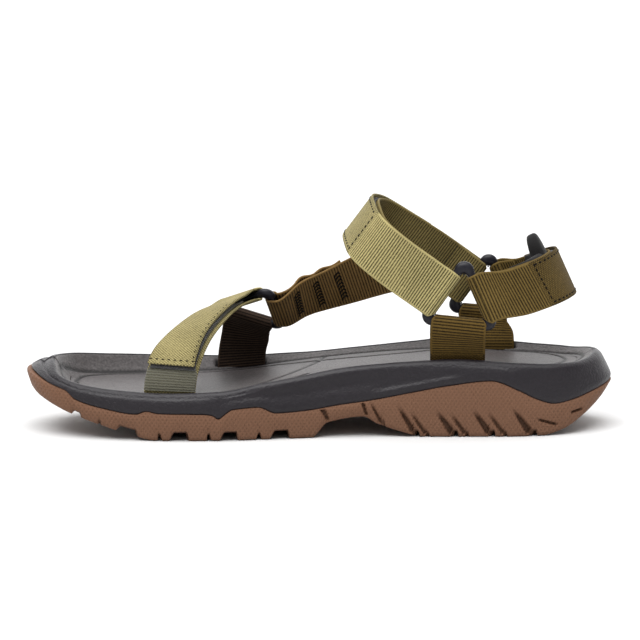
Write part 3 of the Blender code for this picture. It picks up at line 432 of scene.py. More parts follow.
def grained(name, roughness, grain, **sockets):
    """Start of a moulded finish: its material and a fine noise, grain metres across."""
    material, tree, shader = new_finish(name, roughness, **sockets)
    spot = add(tree, "ShaderNodeTexCoord", None, "Object")
    grains = add(tree, "ShaderNodeTexNoise", {"Vector": spot, "Scale": 0.5 / grain, "Detail": 3.0,
                                              "Roughness": 0.6}, "Fac")
    return material, tree, shader, spot, grains


def moulded(name, tint, roughness, grain, depth, dark=0.85, pale=1.15, fleck=0.5, **sockets):
    """Moulded foam, nylon, knit or thread: a tint that drifts over 4 cm, flecked by its grain."""
    material, tree, shader, spot, grains = grained(name, roughness, grain, **sockets)
    drift = add(tree, "ShaderNodeTexNoise", {"Vector": spot, "Scale": 25.0, "Detail": 3.0}, "Fac")
    tone = weighted(tree, -0.5 * fleck, (grains, fleck), (drift, 1.0), clamp=True)
    dress(tree, shader, tint, tone, dark, pale, grains, 0.6, depth)
    return material


def foam_finish(tint):
    """EVA foam skin: dull satin with a leather-like grain about 0.6 mm across; the grain also flecks the
    colour, its light flecks being painted highlights on the grain.
    """
    return moulded("moulded_eva_foam", tint, 0.42, 0.0006, 0.0006, 0.75, 1.3, fleck=1.3,
                   Specular_IOR_Level=0.35)


def footbed_finish(tint):
    """Pressed EVA footbed: matt stipple about 0.7 mm across, with painted shade down in its lines and slots.
    """
    material, tree, shader, _, grains = grained("pressed_eva_footbed", 0.5, 0.0007, Specular_IOR_Level=0.35)
    line = add(tree, "ShaderNodeAttribute", None, "Fac", attribute_name="line")
    # The line value darkens the grooves and the slot pits: painted shade.
    tone = weighted(tree, -0.08, (grains, 1.3), (line, -1.0), clamp=True)
    dress(tree, shader, tint, tone, 0.25, 1.7, grains, 0.6, 0.0006)
    return material


def rubber_finish(tint):
    """Moulded gum rubber: satin brown, with a fine diagonal cross-hatch on its side, 1.7 mm apart, and
    painted shade down in its cuts."""
    material, tree, shader, spot, grains = grained("moulded_gum_rubber", 0.6, 0.0006, Specular_IOR_Level=0.15)
    side, cut = (add(tree, "ShaderNodeAttribute", None, "Fac", attribute_name=key) for key in ("side", "cut"))
    bands = crossed_bands(tree, spot, 35, 1, WAVE_SCALE / 0.0017, "MAXIMUM", Distortion=0.0)
    cross = add(tree, "ShaderNodeMath", {0: bands, 1: side}, 0, operation="MULTIPLY")
    drift = add(tree, "ShaderNodeTexNoise", {"Vector": spot, "Scale": 30.0, "Detail": 2.0}, "Fac")
    even = weighted(tree, 0.55, (drift, 0.5), (cross, 0.45))
    # The cut value darkens the colour down in the grooves and slashes: painted shade.
    tone = add(tree, "ShaderNodeMath", {0: even, 1: weighted(tree, 1.0, (cut, -0.68))}, 0,
               operation="MULTIPLY")
    dress(tree, shader, tint, tone, 0.12, 1.13, weighted(tree, cross, (grains, 0.4)), 0.7, 0.00035)
    return material


def nylon_finish(name, tint):
    """Moulded nylon: slate black with a satin gloss and a faint spark-eroded grain."""
    return moulded(name, tint, 0.42, 0.0005, 0.00006, 0.9, 1.1, Specular_IOR_Level=0.3)


def lining_finish(tint):
    """Brushed knit lining over foam: dull, with a fine soft nap."""
    return moulded("brushed_knit_lining", tint, 0.85, 0.0009, 0.00035, 0.8, 1.25, Sheen_Weight=0.08,
                   Sheen_Roughness=0.6, Specular_IOR_Level=0.12)


def thread_finish(tint):
    """Waxed polyester thread: dark and dull, made once and shared by every row of stitches."""
    return (bpy.data.materials.get("waxed_thread")
            or moulded("waxed_thread", tint, 0.7, 0.0004, 0.0001, Specular_IOR_Level=0.1))


# ---------------------------------------------------------------- the sole
def outline(stations):
    """Closed outline of the sole: toe, medial side, heel, lateral side back, with inward normals and
    whether each point is medial.  x runs as the cosine of an even angle, so both ends are round."""
    angle = np.linspace(0, math.pi, stations + 1)
    half = SOLE_LENGTH / 2
    known = np.arccos(np.clip(-np.array(OUTLINE_X, float) / half, -1, 1))
    x = -half * np.cos(angle)
    medial = level(tuple(zip(known, MEDIAL_Y)), angle)
    lateral = level(tuple(zip(known, LATERAL_Y)), angle)
    points = np.column_stack([np.concatenate([x, x[-2:0:-1]]), np.concatenate([medial, lateral[-2:0:-1]])])
    along = np.roll(points, -1, axis=0) - np.roll(points, 1, axis=0)
    inward = unit(np.column_stack([-along[:, 1], along[:, 0]]))
    return points, inward, np.arange(len(points)) <= stations


class Plan:
    """The sole's outline at one fineness, and the heights that belong to its points."""

    def __init__(self, stations):
        self.edge, self.inward, self.medial = outline(stations)
        x = self.edge[:, 0]
        self.rim = np.where(self.medial, level(RIM_MEDIAL, x), level(RIM_LATERAL, x))
        self.interface = level(INTERFACE, x)
        self.bottom = level(BOTTOM, x)
        self.tuck = TOE_TUCK * ease((-x - 128) / 16)
        self.lean = np.where(x < 0, *END_LEAN) * np.clip((np.abs(x) - 122) / 24, 0, 1) ** 1.5 + self.tuck

    def moved(self, inset, reach=1.0):
        """Plan points moved in by inset, then drawn to the mid-line so that reach is left."""
        flat = self.edge + self.inward * np.reshape(inset, (-1, 1))
        middle = (flat + np.roll(flat[::-1], 1, axis=0)) / 2
        return middle + (flat - middle) * reach


def slot_places():
    """Middle of each strap slot: (x, y, inward sign, slope of the seat there in degrees)."""
    plan = Plan(48)
    places = {}
    for name, x, medial, inset in SLOT_PLACES:
        side = plan.medial if medial else ~plan.medial
        order = np.argsort(plan.edge[side, 0])
        edge = float(np.interp(x, plan.edge[side, 0][order], plan.edge[side, 1][order]))
        sign = 1 if medial else -1
        slope = math.degrees(math.atan((seat_height(x + 12) - seat_height(x - 12)) / 24))
        places[name] = (x, edge + sign * inset, sign, slope)
    return places


def seat_height(x):
    """Height of the midsole's seat under the footbed at x."""
    return float((level(FOOTBED, x) - level(TOPSOLE, x))[0])


def trough(across, half, wall_before, wall_after):
    """1 inside a groove and 0 outside: smooth walls whose runs may differ on its two sides."""
    return ease((across + half + wall_before) / wall_before) * ease((half + wall_after - across) / wall_after)


def tread_depth(x, y):
    """How deep the tread is cut at (x, y): the deepest of the cross grooves, the two channels along
    the forefoot and the slanted heel grooves."""
    depth = np.zeros_like(x)
    for place_x, width, deep, wall in FORE_GROOVES:
        bow = 0.0022 * (y + 4) ** 2          # the grooves bow towards the heel at both edges
        cut = trough(x - place_x - bow + 3.2, width / 2 - 0.3, wall, 0.6)
        depth = np.maximum(depth, deep * cut)
    for first, last, middle in CHANNELS:
        cut = trough(y - middle - 2.4 * np.sin(x / 11.0), CHANNEL_WIDTH / 2 - 0.6, 0.9, 0.9)
        depth = np.maximum(depth, CHANNEL_DEPTH * cut * ease((x - first) / 2) * ease((last - x) / 2))
    for place_x, width, deep, _ in HEEL_GROOVES:
        cut = trough(x - place_x - HEEL_SLANT * (y - HEEL_EDGE), width / 2 - 0.2, 0.5, 0.5)
        depth = np.maximum(depth, deep * cut * ease((x - 18) / 6))
    ring = np.abs(np.hypot((x - 82) / 46, y / 24) - 0.55) * 24
    return np.maximum(depth, 2.6 * trough(ring, 0.7, 0.7, 0.7))


def side_depth(x, z, bottom, interface):
    """How deep the sidewall is cut in at (x, z): slanted slashes that start at the heel grooves and
    fade upwards, two short slashes at the back and two cuts over the whole side."""
    rise = z - bottom
    depth = np.zeros_like(x)
    for place_x, width, _, height in HEEL_GROOVES:
        narrow = np.clip(1 - rise / height, 0, 1)
        cut = trough(x - place_x + SLASH_LEAN * rise, (width / 2) * narrow ** 0.7, 0.7, 1.2)
        depth = np.maximum(depth, (1.3 + 0.3 * width) * cut * ease(2.2 * narrow))
    for place_x, place_z, half, lean in SLASHES:
        along = (x - place_x) / half
        across = z - place_z + lean * along
        depth = np.maximum(depth, 1.7 * trough(across, 0.35, 0.5, 0.5) * ease(2.2 * (1 - np.abs(along))))
    for place_x, half in SIDE_CUTS:
        cut = trough(x - place_x + 0.35 * rise, half, 0.5, 0.5)
        depth = np.maximum(depth, 1.8 * cut)
    return depth * ease((interface - z) / 1.2)


def loft(name, rows, finish, values=None, smooth=40):
    """Closed surface over rows of (plan points, heights) round the sole; the first and the last row
    lie on the mid-line, where the two halves are welded."""
    points = np.stack([np.column_stack([flat, np.broadcast_to(high, len(flat))]) for flat, high in rows])
    return tube(name, points, finish, values=values, smooth=smooth, weld=True, caps=False)


def outsole_surface(finish):
    """Rubber cup: from the middle of the treaded underside out to its edge, up the side to the lip,
    and back over a plain floor that the midsole hides."""
    plan = Plan(800)
    rows, side, cut_shades = [], [], []
    inset = 3.2
    for reach in np.linspace(0, 1, 18):
        flat = plan.moved(inset, reach)
        deep = tread_depth(flat[:, 0], flat[:, 1])
        rows.append((flat, level(BOTTOM, flat[:, 0]) + deep))
        side.append(0.0)
        cut_shades.append(deep / 5)
    edge_cut = tread_depth(plan.edge[:, 0], plan.edge[:, 1])
    for out, up in ((2.2, 0.05), (1.3, 0.45), (0.75, 1.1)):
        flat = plan.moved(out)
        rows.append((flat, level(BOTTOM, flat[:, 0]) * 0.5 + plan.bottom * 0.5 + up
                     + edge_cut * (1 - 0.1 * up)))
        side.append(0.4)
        cut_shades.append(edge_cut / 5)
    start = plan.bottom + 1.9 + edge_cut * 0.8
    for share in np.linspace(0, 1, 32):
        high = start + (plan.interface - start) * share
        bulge = 0.45 * (1 - share) ** 2 - 0.25 * np.sin(math.pi * share)
        cut = side_depth(plan.edge[:, 0], high, plan.bottom, plan.interface)
        rows.append((plan.moved(bulge + 0.25 * share ** 8 + cut), high))
        side.append(1.0)
        cut_shades.append(cut / 1.9)
    rows.append((plan.moved(0.7), plan.interface + 0.25))
    rows.append((plan.moved(2.6), plan.interface))
    floor = [plan.moved(3.2), plan.moved(10.0), plan.moved(10.0, 0.0)]
    for flat in floor:
        rows.append((flat, level(BOTTOM, flat[:, 0]) + level(RUBBER, flat[:, 0])))
    side += [0.6] + [0.0] * 4
    cut_shades += [np.zeros(len(plan.edge))] * 5
    # How deep each point is cut in goes to the finish as the cut value, which paints shade there.
    values = {"side": np.repeat(np.array(side), len(plan.edge)), "cut": np.clip(cut_shades, 0, 1)}
    return loft("outsole_rubber", rows, finish, values, smooth=50)


def midsole_surface(finish):
    """Foam midsole: a floor inside the rubber cup, the side that swells over the lip and leans in to
    the rim, a rounded rim, and the seat of the footbed.  The side follows a smooth curve through
    sections, with a soft crease low on the arch."""
    plan = Plan(300)
    body = plan.rim - plan.interface
    x = plan.edge[:, 0]
    tuck = plan.tuck
    lean = plan.lean
    sections = [(0.75 + tuck, plan.interface + GAP), (0.12 + tuck, plan.interface + GAP + 0.07 * body),
                (0.1 + 0.9 * tuck, plan.interface + GAP + 0.2 * body),
                (0.45 + 0.3 * lean + 0.6 * tuck, plan.interface + GAP + 0.42 * body),
                (1.05 + 0.6 * lean + 0.3 * tuck, plan.interface + 0.66 * body),
                (1.75 + 0.8 * lean, plan.rim - 2.5), (2.6 + 0.95 * lean, plan.rim - 1.1),
                (3.7 + lean, plan.rim - 0.3), (4.7 + lean, plan.rim - 0.1), (5.5 + lean, plan.rim - 0.35)]
    insets = np.stack([np.broadcast_to(inset, x.shape) for inset, _ in sections])
    heights = np.stack([high for _, high in sections])
    both = np.stack([insets, heights], axis=-1)
    known = np.arange(len(sections), dtype=float)
    at = np.linspace(0, known[-1], 46)
    both = hermite(at, known, both, np.gradient(both, axis=0))
    crease = plan.interface + 3.4
    window = ease((x - 20) / 14) * ease((74 - x) / 14)
    rise = both[:, :, 1] - crease
    fold = window * (0.45 * np.exp(-(rise / 1.1) ** 2) - 0.3 * np.exp(-((rise - 2.4) / 1.5) ** 2))
    shoulder = ease((x + 62) / 40) * ease((60 - x) / 40) * plan.medial
    high = (both[:, :, 1] - plan.interface) / body
    waist = shoulder * 1.0 * np.exp(-((high - 0.55) / 0.22) ** 2)
    both[:, :, 0] += waist - fold
    rows = []
    for reach in (0.0, 1.0):
        flat = plan.moved(10.0, reach)
        rows.append((flat, level(BOTTOM, flat[:, 0]) + level(RUBBER, flat[:, 0]) + FLOOR_GAP))
    flat = plan.moved(3.7)
    rows.append((flat, level(BOTTOM, flat[:, 0]) + level(RUBBER, flat[:, 0]) + FLOOR_GAP))
    rows.append((plan.moved(3.1), plan.interface + GAP))
    rows += [(plan.moved(inset), high) for inset, high in zip(both[:, :, 0], both[:, :, 1])]
    seam = SEAM_INSET + lean
    for inset in (seam, np.full_like(seam, 13.0)):
        flat = plan.moved(inset)
        drop = POCKET_FLOOR if np.ptp(inset) == 0 else 0.0
        rows.append((flat, level(FOOTBED, flat[:, 0]) - level(TOPSOLE, flat[:, 0]) - drop))
    flat = plan.moved(13.0, 0.0)
    rows.append((flat, level(FOOTBED, flat[:, 0]) - level(TOPSOLE, flat[:, 0]) - POCKET_FLOOR))
    return loft("midsole_foam", rows, finish, smooth=55)


def polyline(stops, closed=False, spacing=0.4):
    """Points of a smooth curve through plan stops: a cubic over the chord length."""
    stops = np.array(stops, float)
    if closed:
        stops = np.vstack([stops[-2:], stops, stops[:2]])
    chord = np.concatenate([[0], np.cumsum(np.linalg.norm(np.diff(stops, axis=0), axis=1))])
    low, high = (chord[2], chord[-2]) if closed else (0.0, chord[-1])
    at = np.arange(low, high, spacing)
    return hermite(at, chord, stops, np.gradient(stops, chord, axis=0))


def nearest(points, curve):
    """Distance from each plan point to the nearest point of a curve."""
    best = np.full(len(points), 1e9)
    for some in np.array_split(curve, max(1, len(curve) // 40)):
        gap = np.hypot(points[:, None, 0] - some[None, :, 0], points[:, None, 1] - some[None, :, 1])
        best = np.minimum(best, gap.min(axis=1))
    return best


FOOTBED_LINES = (
    ((-122, -8), (-117, -22), (-104, -31), (-86, -35), (-66, -34.5), (-44, -29), (-22, -19), (-6, -6)),
    ((-122, -8), (-120, 6), (-110, 16), (-92, 25), (-72, 32), (-50, 36), (-28, 36), (-6, 30)),
    ((-66, -34.5), (-44, -24), (-24, -8), (-10, 10), (-2, 24), (2, 36)),
    ((-6, -26), (8, -17), (26, -13), (46, -14), (64, -18)),
    ((-6, 30), (10, 26), (28, 23), (46, 23), (62, 26)),
    ((-22, -19), (-8, -30)),
)
HEEL_CUP = ((62, -1), (66, -13), (78, -21), (96, -23), (112, -18), (121, -8), (123, 2), (119, 13), (108, 21),
            (92, 24), (76, 20), (66, 11))


def footbed_surface(finish):
    """Footbed: edges that rise to the rim, a dished middle, pressed lines as Gaussian grooves along
    their distance from plan curves, and a narrow pit at each strap slot."""
    sizes = bpy.context.scene.sandal_sizes
    plan = Plan(330)
    lean = plan.lean
    edge = plan.rim - 0.4
    seam = SEAM_INSET + 0.05 + lean
    steps = np.concatenate([[0.0], np.linspace(0.25, DISH[-1][0], 15)])
    shares = hermite(steps, np.array([0.0] + [d[0] for d in DISH]), np.array([1.0] + [d[1] for d in DISH]),
                     np.gradient([1.0] + [d[1] for d in DISH], [0.0] + [d[0] for d in DISH]))
    rows = []
    flat = plan.moved(13.0, 0.0)
    rows.append((flat, level(FOOTBED, flat[:, 0]) - level(TOPSOLE, flat[:, 0]) + GAP))
    for inset in (13.0, seam):
        flat = plan.moved(inset)
        rows.append((flat, level(FOOTBED, flat[:, 0]) - level(TOPSOLE, flat[:, 0]) + GAP))
    for step, share in zip(steps, shares):
        flat = plan.moved(seam + step)
        foot = level(FOOTBED, flat[:, 0])
        round_off = 0.25 * math.exp(-step / 0.2)
        rows.append((flat, foot + share * (edge - foot) - round_off))
    flat_edge = plan.moved(seam + DISH[-1][0])
    foot_edge = level(FOOTBED, flat_edge[:, 0])
    lift = DISH[-1][1] * (edge - foot_edge)
    for reach in np.linspace(0.98, 0.0, 62):
        flat = plan.moved(seam + DISH[-1][0], reach)
        foot = level(FOOTBED, flat[:, 0])
        rows.append((flat, foot + lift * ease((reach - 0.5) / 0.5)))
    points = np.stack([np.column_stack([flat, high]) for flat, high in rows])
    top = points[3:].reshape(-1, 3)
    width = sizes.groove_width / MM / 2
    rim_line = plan.moved(SEAM_INSET + 0.55 * lean + 6.6)
    rim_line = np.vstack([rim_line, (rim_line + np.roll(rim_line, 1, axis=0)) / 2])
    gap = nearest(top[:, :2], rim_line)
    for stops in FOOTBED_LINES:
        gap = np.minimum(gap, nearest(top[:, :2], polyline(stops)))
    gap = np.minimum(gap, nearest(top[:, :2], polyline(HEEL_CUP, closed=True)))
    line = np.exp(-(gap / width) ** 2)
    pit = np.zeros(len(top))
    for x, y, _, _ in slot_places().values():
        long = ease((SLOT_LENGTH / 2 - np.abs(top[:, 0] - x)) / 0.8)
        wide = ease((SLOT_WIDTH / 2 + 0.3 - np.abs(top[:, 1] - y)) / 0.7)
        pit = np.maximum(pit, long * wide)
    top[:, 2] -= sizes.groove_depth / MM * line * (1 - pit) + 4.6 * pit
    points[3:] = top.reshape(points[3:].shape)
    # The line value, for the grooves and the slot pits, goes to the finish as painted shade.
    values = np.zeros(points.shape[:2])
    values[3:] = np.maximum(line, pit).reshape(values[3:].shape)
    return tube("footbed_foam", points, finish, values={"line": values}, smooth=60, weld=True, caps=False)


# ---------------------------------------------------------------- webbing paths
# A path is (centres, halves): points on the middle line and vectors from there to one edge.
def smooth_path(stops, spacing=0.7, half=WEB_WIDTH / 2):
    """Smooth path through stops of (centre, width direction); spacing is the step along it."""
    centres = np.array([stop[0] for stop in stops], float)
    reach = np.array([stop[2] if len(stop) > 2 else half for stop in stops])
    halves = unit([stop[1] for stop in stops]) * reach[:, None]
    both = np.hstack([centres, halves])
    chord = np.concatenate([[0], np.cumsum(np.linalg.norm(np.diff(centres, axis=0), axis=1))])
    at = np.linspace(0, chord[-1], max(2, int(chord[-1] / spacing) + 1))
    both = hermite(at, chord, both, np.gradient(both, chord, axis=0))
    return both[:, :3], both[:, 3:]


def relaxed(path, reach=4.0):
    """Path smoothed by a running average as wide as reach, which fades out towards both ends."""
    both = np.hstack(path)
    along = distance(path)
    hold = ease(np.minimum(along, along[-1] - along) / 8.0 - 0.15)[:, None]
    step = along[-1] / (len(along) - 1)
    for _ in range(int(2 * (reach / step) ** 2)):
        even = both.copy()
        even[1:-1] = (both[:-2] + 2 * both[1:-1] + both[2:]) / 4
        both += (even - both) * hold
    return both[:, :3], both[:, 3:]


def join(*paths):
    """Paths one after another, without doubled points."""
    centres = np.vstack([path[0] for path in paths])
    halves = np.vstack([path[1] for path in paths])
    keep = np.concatenate([[True], np.linalg.norm(np.diff(centres, axis=0), axis=1) > 0.05])
    return centres[keep], halves[keep]


def reverse(path):
    """The same path walked the other way."""
    return path[0][::-1], path[1][::-1]


def distance(path):
    """Length along the path at each point."""
    return np.concatenate([[0], np.cumsum(np.linalg.norm(np.diff(path[0], axis=0), axis=1))])


def part_of(path, start, end, spacing=0.7):
    """Stretch of a path between two lengths along it."""
    along = distance(path)
    at = np.linspace(start, end, max(2, int((end - start) / spacing) + 1))
    both = np.hstack(path)
    both = np.column_stack([np.interp(at, along, both[:, k]) for k in range(6)])
    return both[:, :3], both[:, 3:]


def offset(path, out, side=-1):
    """Path moved off its own face: out is a number or one value for each point."""
    along = np.gradient(path[0], axis=0)
    face = unit(np.cross(along, path[1])) * side
    return path[0] + face * np.reshape(out, (-1, 1)), path[1]


def narrowed(path, half):
    """The same path with another half width."""
    return path[0], unit(path[1]) * half


def ring_bars(ring):
    """Corners of the ring and, for each bar, its middle, its axis and the way out of the ring."""
    centre = np.array(ring["centre"])
    normal = unit(ring["normal"])
    across = unit(np.array(ring["across"]) - np.dot(ring["across"], normal) * normal)
    up = np.cross(normal, across) * ring["turn"]
    angles = np.radians(ring["first"] + np.array([0, 120, 240]))
    corners = centre + RING_SIDE_RADIUS * (np.outer(np.cos(angles), across) + np.outer(np.sin(angles), up))
    bars = {}
    for first, second in ((0, 1), (1, 2), (2, 0)):
        middle = (corners[first] + corners[second]) / 2
        bars[first, second] = dict(middle=middle, axis=unit(corners[first] - corners[second]),
                                   out=unit(middle - centre), normal=normal)
    return corners, bars


def wrap(bar, start, end, shift=0.0):
    """Arc of webbing round a bar: -90 is the foot side, 0 inside the ring, 90 the outer side."""
    angle = np.radians(np.linspace(start, end, max(2, int(abs(end - start) / 5) + 1)))[:, None]
    squeeze = np.cos(angle) ** 2
    half = FACE_HALF + (SQUEEZED_HALF - FACE_HALF) * squeeze
    slide = shift * (1 - 0.6 * squeeze)
    arc = WRAP_RADIUS * (np.sin(angle) * bar["normal"] - np.cos(angle) * bar["out"])
    return bar["middle"] + bar["axis"] * slide + arc, bar["axis"] * half


def leave(bar, angle, shift=0.0, run=LEAVE_RUN):
    """Two stops for smooth_path: the end of a wrap, and the webbing a short run straight on from it."""
    centres, halves = wrap(bar, angle, angle + 1, shift)
    half = np.linalg.norm(halves[0])
    turn = math.radians(angle)
    ahead = math.copysign(1, angle) * (math.cos(turn) * bar["normal"] + math.sin(turn) * bar["out"])
    return [(centres[0], halves[0], half), (centres[0] + ahead * run, halves[0], half)]


def tail(slot, layer):
    """Webbing from above a slot down through it and round under the footbed."""
    x, y, sign, slope = slot_places()[slot]
    along = np.array([math.cos(math.radians(slope)), 0, math.sin(math.radians(slope))])
    inward = np.array([0, sign, 0])
    pivot_in = 2.15
    radius = {-1: 2.9, 0: 2.15, 1: 1.4}[layer]
    pivot = np.array([x, y, seat_height(x) + 0.6]) + inward * pivot_in
    turn = np.radians(np.linspace(0, 90, 9))[:, None]
    bend = pivot + radius * (-np.cos(turn) * inward - np.sin(turn) * np.array([0, 0, 1]))
    end = bend[-1] + inward * (TAIL_LENGTH - pivot_in)
    top = bend[0] + np.array([0, 0, 5.0])
    centres = np.vstack([top, bend, end])
    return centres, np.tile(along * WEB_WIDTH / 2, (len(centres), 1))


def anchor_path(slot, bar, outer, inner):
    """Doubled webbing: out of the slot, round the ring's lower bar and back into the slot."""
    arc = wrap(bar, 90, -90)
    arc = (arc[0], arc[1] * (1 if arc[1][0][0] > 0 else -1))
    run = bar["out"] * ANCHOR_RUN
    tops = {layer: (tail(slot, layer)[0][0], tail(slot, layer)[1][0]) for layer in (-1, 1)}
    start = [(arc[0][0] + run, arc[1][0], FACE_HALF), (arc[0][0], arc[1][0], FACE_HALF)]
    end = [(arc[0][-1], arc[1][-1], FACE_HALF), (arc[0][-1] + run, arc[1][-1], FACE_HALF)]
    up = smooth_path([tops[-1]] + outer + start)
    down = smooth_path(end + inner + [tops[1]])
    return join(reverse(tail(slot, -1)), up, arc, down, tail(slot, 1))


def flap_path(base):
    """Path of the flap that lies over a base path, wider apart beside the ring bar."""
    near = ease(1 - distance(base) / BAR_RELIEF)
    return offset(base, FLAP_SPACING + (2 * WRAP_RADIUS - FLAP_SPACING) * near)


def instep_base():
    """Middle layer over the instep, from the medial ring's front bar to the lateral ring's."""
    lean = (0.6, 0, 0.8)
    side_lean = (0.55, 0, 0.835)
    stops = leave(ring_bars(MEDIAL_RING)[1][0, 1], -90, INSTEP_SHIFT) + [
        ((48.4, -32.9, 76.8), side_lean), ((39.1, -33.4, 83.4), side_lean),
        ((30.0, -32.6, 90.4), (0.58, 0, 0.815)),
        ((24.6, -27.6, 95.0), lean), ((22.4, -16.0, 99.8), lean), ((21.8, 0.0, 102.4), lean),
        ((24.2, 17.0, 101.8), lean), ((29.2, 27.6, 99.6), lean), ((35.5, 31.6, 95.6), lean),
        ((44.0, 32.8, 90.4), lean), ((56.0, 33.6, 82.8), lean)]
    return relaxed(smooth_path(stops + leave(ring_bars(LATERAL_RING)[1][0, 1], 90)[::-1]))


def heel_base():
    """Layer round the back of the heel, from the medial ring's rear bar to the lateral ring's."""
    stops = leave(ring_bars(MEDIAL_RING)[1][2, 0], -90, HEEL_SHIFT) + [
        ((92.6, -30.2, 69.6), (0.5, 0.08, -0.86)), ((100.8, -27.4, 71.9), (0.5, 0.1, -0.86)),
        ((109.8, -21.8, 74.2), (0.47, 0.12, -0.87)), ((116.8, -12.0, 76.1), (0.44, 0.06, -0.9)),
        ((119.2, 0.0, 76.4), (0.42, 0, -0.91)), ((117.0, 12.0, 74.8), (0.43, -0.06, -0.9)),
        ((111.2, 22.2, 71.4), (0.44, -0.1, -0.89)), ((104.0, 30.4, 67.9), (0.43, -0.04, -0.9))]
    return relaxed(smooth_path(stops + leave(ring_bars(LATERAL_RING)[1][2, 0], 90)[::-1]))


def toe_base():
    """Layer over the toes, from the front ring's front bar to the medial slot."""
    centres, halves = tail("toe", 0)
    stops = leave(ring_bars(FRONT_RING)[1][2, 0], TOE_LEAVE, run=2.0) + [
        ((-45.0, 11.0, 57.0), (-0.77, 0.56, -0.32)), ((-50.2, 2.0, 55.6), (-0.8, 0.53, -0.3)),
        ((-57.8, -13.0, 51.0), (-0.83, 0.52, -0.22)), ((-65.2, -25.6, 44.2), (-0.89, 0.4, -0.12)),
        ((-70.2, -34.2, 36.8), (-0.97, 0.18, 0.04)), ((-72.6, -39.0, 28.5), (-0.99, 0, 0.08)),
        (centres[0], -halves[0])]
    return relaxed(smooth_path(stops))


def connecting_base():
    """Foot-side layer from the front ring's rear bar to the instep strap's lateral leg."""
    stops = leave(ring_bars(FRONT_RING)[1][0, 1], -90) + [
        ((-9.0, 26.0, 59.4), (-0.14, -0.62, 0.77)), ((2.0, 28.9, 62.9), (-0.26, -0.56, 0.79)),
        ((14.0, 30.6, 67.3), (-0.3, -0.38, 0.87)), ((27.0, 30.8, 72.2), (-0.3, -0.16, 0.94)),
        ((38.0, 30.5, 75.5), (-0.3, 0, 0.95)), ((47.0, 30.4, 78.2), (-0.3, 0, 0.95))]
    return relaxed(smooth_path(stops))


def tail_turn(bar, base, length):
    """Wrap round a lateral bar and a sewn tail on the foot side, as one path after the base."""
    arc = wrap(bar, 90, -90)
    arc = (arc[0], arc[1] * (1 if np.dot(arc[1][0], base[1][-1]) > 0 else -1))
    back = reverse(part_of(base, distance(base)[-1] - length, distance(base)[-1]))
    near = ease(1 - distance(back) / length)
    sewn = WEB_THICKNESS + GAP
    back = offset(back, sewn + (2 * WRAP_RADIUS - sewn) * near)
    return join(arc, (back[0][1:], back[1][1:]))


# ---------------------------------------------------------------- webbing surfaces
ACROSS = np.concatenate([[-1, -0.996, -0.984, -0.965, -0.94, -0.9, -0.82], np.linspace(-0.7, 0.7, 9),
                         [0.82, 0.9, 0.94, 0.965, 0.984, 0.996, 1]])


def ribbon(name, path, finish, pitch=0.0, ribbed=None, thickness=WEB_THICKNESS, fuzz=0.0):
    """Webbing carried along a path.  Its profile is a flat strip with rounded selvages; the ribs are
    the root of a sine along its length, as high as the rib height, over the ribbed stretches."""
    sizes = bpy.context.scene.sandal_sizes
    along = distance(path)
    step = pitch / 7 if pitch else 0.8
    at = np.linspace(0, along[-1], max(3, int(along[-1] / step) + 1))
    both = np.hstack(path)
    both = np.column_stack([np.interp(at, along, both[:, k]) for k in range(6)])
    centres, halves = both[:, :3], both[:, 3:]
    forward = np.gradient(centres, axis=0)
    forward[1:-1] = forward[:-2] + 2 * forward[1:-1] + forward[2:]
    face = unit(np.cross(forward, halves))
    round_off = np.sqrt(np.clip(1 - (np.clip(np.abs(ACROSS) - 0.952, 0, 1) / 0.048) ** 2, 0, 1))
    selvage = 1 + 0.1 * np.exp(-((np.abs(ACROSS) - 0.94) / 0.03) ** 2)
    if pitch:
        mask = np.zeros_like(at)
        for low, high in ribbed or ((-9, along[-1] + 9),):
            mask = np.maximum(mask, ease((at - low) / pitch) * ease((high - at) / pitch))
        wave = np.sqrt(np.abs(np.sin(np.pi * at / pitch)))
        rib = 1 - mask * (1 - wave)
    else:
        rib = np.ones_like(at)
    inner = ease((0.95 - np.abs(ACROSS)) / 0.05)
    plain = np.broadcast_to((1 - mask if pitch else np.ones_like(at))[:, None], (len(at), len(ACROSS)))
    rib = 1 - (1 - rib)[:, None] * inner[None, :]
    high = (thickness / 2) * (round_off * selvage)[None, :] / 1.1 - sizes.rib_height / MM * (1 - rib) * 0.5
    high = np.maximum(high, 0)
    if fuzz:
        random = np.random.default_rng(7)
        high = high + fuzz * (random.random(high.shape) - 0.5) * inner
    middle = centres[:, None, :] + halves[:, None, :] * ACROSS[None, :, None]
    top = middle + face[:, None, :] * high[..., None]
    low = middle - face[:, None, :] * high[..., None]
    points = np.concatenate([top, low[:, -2:0:-1]], axis=1)
    order = np.concatenate([np.arange(len(ACROSS)), np.arange(len(ACROSS) - 2, 0, -1)])
    reach = np.linalg.norm(halves, axis=1)[:, None] * ACROSS[order][None, :]
    uv = np.stack([np.broadcast_to(at[:, None], reach.shape), reach], axis=-1)
    edge = np.broadcast_to(ease((np.abs(ACROSS[order]) - 0.9) / 0.06)[None, :], reach.shape)
    # The rib value also goes to the finish, which paints shade into the grooves between ribs with it.
    return tube(name, points, finish, uv=uv, values={"rib": rib[:, order], "edge": edge,
                                                     "plain": plain[:, order]}, smooth=60)


